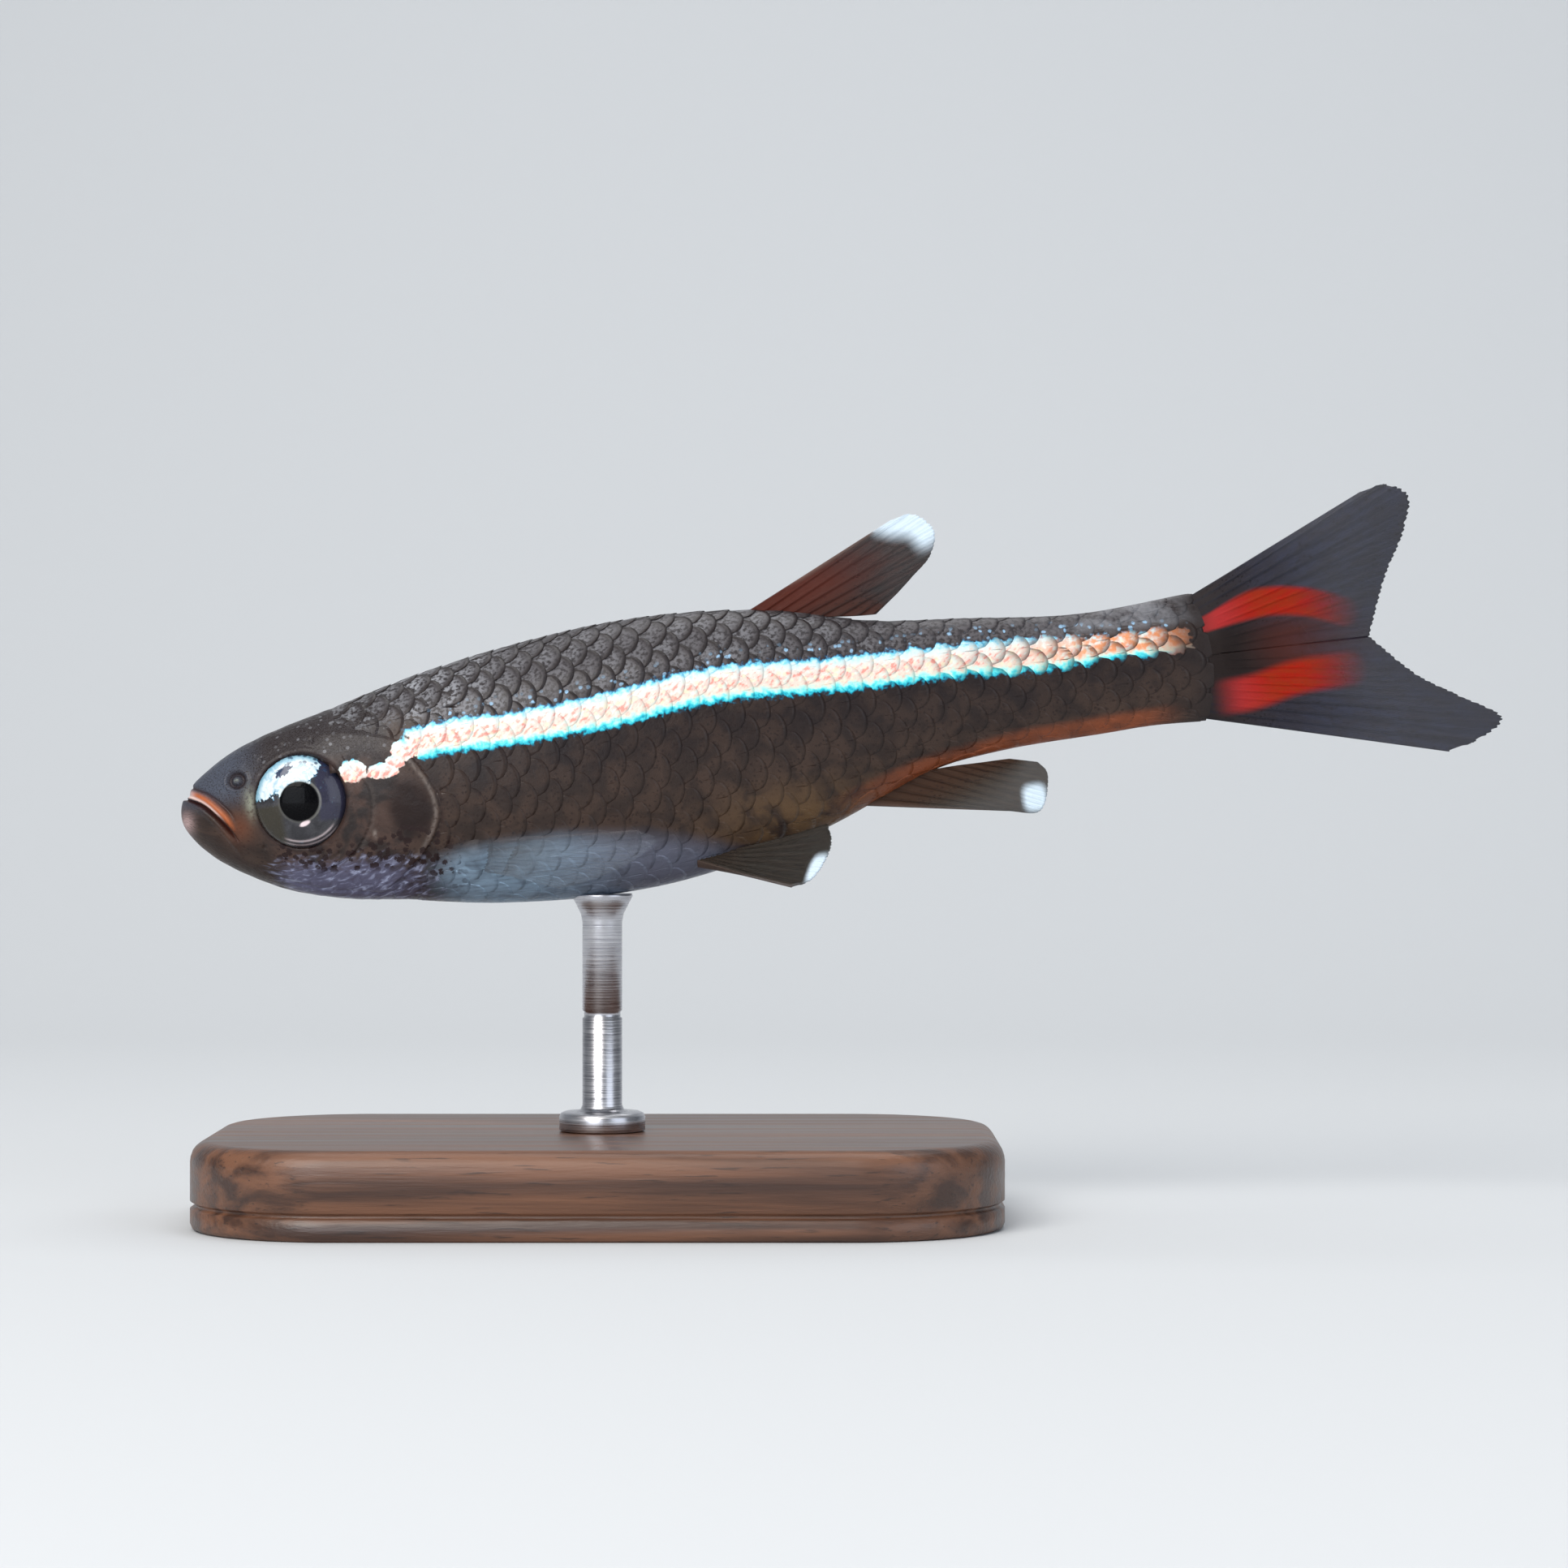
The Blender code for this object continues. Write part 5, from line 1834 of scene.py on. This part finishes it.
        # the stripe glows faintly by emission in its own colour: a painted glow
        board.set(Base_Color=board.paint, Metallic=metal, Roughness=rough, Specular_IOR_Level=0.17,
                  Normal=board.bump(height, 0.012), Emission_Color=board.paint,
                  Emission_Strength=board.times(shows, 0.03), Coat_Weight=0.07, Coat_Roughness=0.16)


@dataclass(frozen=True)
class EyeFinish:
    """A silver iris with dark sectors round a black pupil, under a wet front."""

    silver: Rgb = (214, 226, 230)
    silver_dim: Rgb = (168, 194, 208)
    olive: Rgb = (44, 40, 30)
    slate: Rgb = (44, 44, 62)
    grey: Rgb = (40, 40, 44)
    grey_pale: Rgb = (58, 58, 62)
    green: Rgb = (190, 200, 120)
    blue: Rgb = (34, 50, 78)
    fringe: Rgb = (52, 132, 168)
    outer_blue: Rgb = (104, 160, 182)
    socket: Rgb = (30, 30, 36)
    ring: Rgb = (150, 150, 140)
    pupil: Rgb = (5, 5, 7)
    glint: Rgb = (232, 214, 216)

    def material(self) -> Material:
        """Builds the material.

        Returns:
            The material.
        """
        board = NodeBoard("eye_wet")
        gaze = board.vector("gaze")
        across, high, far = board.parts("gaze")
        upper, olive, slate = board.parts("iris")
        pupil, glint, blotch = board.parts("eye_marks")
        cloud = board.noise(gaze, 2.2, 5.0, 1.0)
        fine = board.noise(gaze, 11.0, 3.0)
        torn = board.noise(gaze, 5.5, 4.0, 0.8)
        board.paint = board.mix(board.fit(torn, 0.36, 0.58), self.silver_dim, self.silver)
        board.lay(self.green, board.fit(across, 0.6, 1.2), board.fit(high, 1.0, 0.3), 0.7)
        board.lay(self.outer_blue, board.fit(far, 1.14, 1.34), 0.8)
        silver = board.paint
        board.paint = board.mix(board.fit(cloud, 0.35, 0.65), self.grey, self.grey_pale)
        patchy = board.fit(cloud, 0.25, 0.45, 0.6, 1.0)
        board.lay(self.olive, olive, patchy)
        board.lay(self.slate, slate, patchy)
        edge = board.calc("ADD", upper, board.fit(torn, 0.3, 0.7, -0.42, 0.42))
        ragged = board.fit(edge, 0.4, 0.6)
        board.lay(silver, ragged)
        board.lay(self.fringe, 4.0, ragged, board.calc("SUBTRACT", 1.0, ragged), 0.8)
        edge = board.calc("ADD", blotch, board.fit(fine, 0.3, 0.7, -0.2, 0.2))
        board.lay(self.blue, board.fit(edge, 0.4, 0.62))
        spot, _ = board.cells(gaze, 5.5)
        board.lay(self.blue, board.fit(far, 1.05, 1.2), board.fit(high, 0.5, 0.8),
                  board.fit(across, -0.5, -0.1), board.fit(spot, 0.46, 0.28), 0.8)
        board.lay(self.socket, board.fit(far, 1.3, 1.4), board.fit(upper, 0.8, 0.3, 0.3, 0.8))
        board.lay(self.ring, board.fit(far, 0.68, 0.63), board.fit(across, -0.3, 0.6, 0.12, 0.4))
        board.lay(self.glint, glint)
        board.lay(self.pupil, pupil)
        board.set(Base_Color=board.paint, Roughness=board.fit(fine, 0.3, 0.7, 0.16, 0.3),
                  Specular_IOR_Level=board.fit(pupil, 0.0, 1.0, 0.25, 0.04), Normal=board.bump(fine, 0.008),
                  Coat_Weight=board.fit(pupil, 0.0, 1.0, 0.35, 0.07), Coat_Roughness=0.03)
        return board.material


@dataclass(frozen=True)
class FinFinish:
    """A smoky membrane with darker rays, and a fin's white, red and pale marks."""

    kind: FinKind
    membrane: Rgb
    ray: Rgb
    root: Rgb
    clear: float = 0.66  # how solid the membrane is at the margin
    ray_solid: float = 0.78
    white: Rgb = (204, 220, 232)
    speck: Rgb = (20, 16, 18)
    red: Rgb = (150, 22, 2)
    red_warm: Rgb = (140, 36, 4)
    red_root: Rgb = (160, 40, 40)
    between_root: Rgb = (30, 22, 20)
    between: Rgb = (70, 31, 22)
    rust: Rgb = (84, 32, 20)
    pale: Rgb = (124, 104, 96)

    def material(self) -> Material:
        """Builds the material.

        Returns:
            The material.
        """
        board = NodeBoard(f"fin_{self.kind.value}")
        flat = board.vector("fin_flat")
        outer, share, ray = board.parts("fin")
        white, red, pale = board.parts("fin_marks")
        cloud = board.noise(flat, 1.4, 5.0)
        fine = board.noise(board.stretched(flat, (1.0, 3.0, 1.0)), 9.0, 3.0)
        dots, _ = board.cells(board.stretched(flat, (7.0, 2.4, 1.0)), 1.0)
        board.paint = board.mix(board.fit(cloud, 0.32, 0.66, 0.0, 0.5), self.membrane, self.root)
        board.lay(self.root, board.fit(outer, 0.45, 0.0))
        board.lay(self.ray, ray, 0.65)
        board.lay(self.speck, board.fit(dots, 0.34, 0.18), 0.6)
        red_share = board.times(red, board.fit(fine, 0.28, 0.5, 0.72, 1.0))
        if self.kind is FinKind.TAIL:
            board.lay(board.mix(board.fit(outer, 0.1, 0.5), self.between_root, self.between), pale, 0.9)
            bar = board.mix(board.fit(cloud, 0.35, 0.65), self.red, self.red_warm)
            board.lay(board.mix(board.fit(outer, 0.24, 0.04), bar, self.red_root), red_share)
        else:
            board.lay(self.rust, red_share, 0.85)
            board.lay(self.pale, pale, 0.9)
        board.lay(self.white, white, board.fit(fine, 0.2, 0.45, 0.75, 1.0))
        solid = board.fit(outer, 0.05, 0.7, 0.4 + 0.55 * min(1.0, 1.6 * self.clear), self.clear)
        solid = board.calc("MAXIMUM", solid, board.times(ray, self.ray_solid))
        marked = board.calc("MAXIMUM", board.calc("MAXIMUM", white, red), board.times(pale, 0.85))
        solid = board.calc("ADD", solid, board.times(board.calc("SUBTRACT", 0.97, solid), marked))
        if self.kind is FinKind.PECTORAL:
            solid = board.times(solid, board.fit(share, 0.0, 0.35, 0.3, 1.0))
        board.set(Base_Color=board.paint, Roughness=board.fit(fine, 0.3, 0.7, 0.28, 0.48), Alpha=solid,
                  Specular_IOR_Level=0.1, Normal=board.bump(fine, 0.01))
        return board.material


@dataclass(frozen=True)
class WoodFinish:
    """Dark satin hardwood with fine grain along the slab."""

    pale: Rgb = (112, 74, 52)
    dark: Rgb = (58, 36, 26)
    pore: Rgb = (34, 22, 17)

    def material(self) -> Material:
        """Builds the material.

        Returns:
            The material.
        """
        board = NodeBoard("hardwood_satin")
        place = board.vector("place")
        bent = board.noise(board.stretched(place, (0.05, 0.28, 0.28)), 1.0, 3.0, 0.8)
        rings = board.noise(board.stretched(place, (0.06, 1.6, 1.6)), 1.0, 5.0, 0.4)
        pores = board.noise(board.stretched(place, (0.7, 9.0, 9.0)), 1.0, 3.0)
        board.paint = board.mix(board.fit(rings, 0.34, 0.66), self.dark, self.pale)
        board.lay(self.dark, board.fit(bent, 0.4, 0.65, 0.0, 0.45))
        board.lay(self.pore, board.fit(pores, 0.6, 0.7, 0.0, 0.6))
        relief = board.bump(board.calc("ADD", rings, pores), 0.02)
        board.set(Base_Color=board.paint, Roughness=board.fit(rings, 0.3, 0.7, 0.34, 0.48), Normal=relief,
                  Coat_Weight=0.15, Coat_Roughness=0.3)
        return board.material


@dataclass(frozen=True)
class SteelFinish:
    """Steel with fine turning lines round the rod."""

    light: Rgb = (206, 206, 210)
    dark: Rgb = (168, 168, 174)

    def material(self) -> Material:
        """Builds the material.

        Returns:
            The material.
        """
        board = NodeBoard("steel_turned")
        place = board.vector("place")
        lines = board.noise(board.stretched(place, (0.4, 0.4, 26.0)), 1.0, 3.0)
        board.paint = board.mix(board.fit(lines, 0.35, 0.65), self.dark, self.light)
        board.lay(self.dark, board.fit(board.noise(place, 1.1, 4.0), 0.55, 0.75, 0.0, 0.3))
        board.set(Base_Color=board.paint, Metallic=1.0, Roughness=board.fit(lines, 0.3, 0.7, 0.24, 0.4),
                  Normal=board.bump(lines, 0.006))
        return board.material


@dataclass(frozen=True)
class FloorFinish:
    """Plain pale matt paper."""

    paper: Rgb = (204, 207, 210)

    def material(self) -> Material:
        """Builds the material.

        Returns:
            The material.
        """
        board = NodeBoard("floor_paper")
        board.set(Base_Color=tone(*self.paper), Roughness=0.9)
        return board.material


@dataclass(frozen=True)
class Studio:
    """A pale sweep, four soft lights and the camera where the photo's stood."""

    floor_front: float = 900.0
    floor_back: float = 90.0
    sweep_radius: float = 160.0
    sweep_steps: int = 33
    wall_top: float = 700.0
    half_wide: float = 900.0
    room: Rgb = (228, 234, 240)
    room_strength: float = 0.35
    lens: float = 100.0
    sensor: float = 36.0
    near_far: tuple[float, float] = (0.01, 10.0)
    camera_at: tuple[float, float, float] = (-1.72, -131.5, 13.08)
    light_target: tuple[float, float, float] = (0.0, 0.0, 12.0)

    def sweep(self) -> Thing:
        """Makes the floor, which curves up into the backdrop.

        Returns:
            The new object.
        """
        turns = np.linspace(0, math.pi / 2, self.sweep_steps)
        depth = self.floor_back + self.sweep_radius * np.sin(turns)
        rise_up = self.sweep_radius * (1 - np.cos(turns))
        line = [(-self.floor_front, 0.0), *zip(depth.tolist(), rise_up.tolist()), (depth[-1], self.wall_top)]
        points = [(x * MM, y * MM, z * MM) for x in (-self.half_wide, self.half_wide) for y, z in line]
        count = len(line)
        faces = [(i, count + i, count + i + 1, i + 1) for i in range(count - 1)]
        mesh = bpy.data.meshes.new("studio_sweep")
        mesh.from_pydata(points, [], faces)
        mesh.polygons.foreach_set("use_smooth", [True] * len(faces))
        mesh.materials.append(FloorFinish().material())
        made = bpy.data.objects.new("studio_sweep", mesh)
        bpy.context.scene.collection.objects.link(made)
        return made

    def light(self, name: str, at: tuple[float, ...], watts: float, size: float, warmth: Rgb) -> None:
        """Adds a soft square light that faces the fish.

        Args:
            name: The light's name.
            at: Its place in the world.
            watts: Its power.
            size: The length of its side.
            warmth: Its colour.
        """
        lamp = bpy.data.lights.new(name, "AREA")
        lamp.energy = watts
        lamp.size = size * MM
        lamp.color = tone(*warmth)[:3]
        made = bpy.data.objects.new(name, lamp)
        made.location = Vector(at) * MM
        towards = Vector(self.light_target) * MM - made.location
        made.rotation_euler = towards.to_track_quat("-Z", "Y").to_euler()
        bpy.context.scene.collection.objects.link(made)

    def camera(self) -> None:
        """Adds the camera, level and square to the fish's side."""
        lens = bpy.data.cameras.new("photo_camera")
        lens.lens = self.lens
        lens.sensor_width = self.sensor
        lens.clip_start, lens.clip_end = self.near_far
        made = bpy.data.objects.new("photo_camera", lens)
        made.location = Vector(self.camera_at) * MM
        made.rotation_euler = (math.pi / 2, 0.0, 0.0)
        bpy.context.scene.collection.objects.link(made)
        bpy.context.scene.camera = made

    def build(self) -> None:
        """Sets up floor, lights, surroundings and camera."""
        self.sweep()
        self.light("key_light", (-110, -210, 190), 0.75, 170, (255, 250, 244))
        self.light("low_light", (-90, -230, 24), 0.22, 140, (240, 246, 255))
        self.light("fill_light", (220, -200, 90), 0.28, 220, (236, 244, 255))
        self.light("top_light", (20, 60, 260), 0.35, 200, (255, 255, 255))
        world = bpy.data.worlds.new("soft_room")
        world.use_nodes = True
        backdrop = world.node_tree.nodes["Background"]
        backdrop.inputs["Color"].default_value = tone(*self.room)
        backdrop.inputs["Strength"].default_value = self.room_strength
        bpy.context.scene.world = world
        self.camera()
        bpy.context.scene.view_settings.view_transform = "Standard"


FIN_FINISHES = {
    FinKind.DORSAL: FinFinish(FinKind.DORSAL, (44, 38, 38), (32, 25, 24), (62, 34, 27), 0.8),
    FinKind.ANAL: FinFinish(FinKind.ANAL, (58, 50, 41), (40, 33, 27), (56, 41, 30), 0.7),
    FinKind.PELVIC: FinFinish(FinKind.PELVIC, (50, 46, 41), (36, 32, 28), (48, 38, 31), 0.7),
    FinKind.PECTORAL: FinFinish(FinKind.PECTORAL, (128, 138, 148), (96, 100, 106), (92, 92, 94), 0.06, 0.22),
    FinKind.TAIL: FinFinish(FinKind.TAIL, (42, 44, 60), (28, 29, 39), (38, 32, 33), 0.76),
}


def main() -> None:
    """Builds the fish, its stand and the studio, in order."""
    logging.basicConfig(level=logging.INFO, format="%(name)s: %(message)s")
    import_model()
    body, marks, pose = BodyShape(), Markings(), FishPose()
    arcs = ArcMap(body, marks.stripe_middle)
    FishSkin(body, marks, arcs, pose).build(FishFinish("skin_wet", scaled=False).material())
    ScaleCoat(body, marks, arcs, pose).build(FishFinish("scale_wet", scaled=True).material())
    eye_finish = EyeFinish().material()
    for side in Side:
        Eye(body, pose, side, marks.eye).build(eye_finish)
    fin_finishes = {kind: finish.material() for kind, finish in FIN_FINISHES.items()}
    for fin in FinSet(body).fins():
        fin.build(pose, fin_finishes[fin.kind])
    stand = DisplayStand(body, pose)
    stand.build_base(WoodFinish().material())
    stand.build_rod(SteelFinish().material())
    Studio().build()


if __name__ == "__main__":
    main()
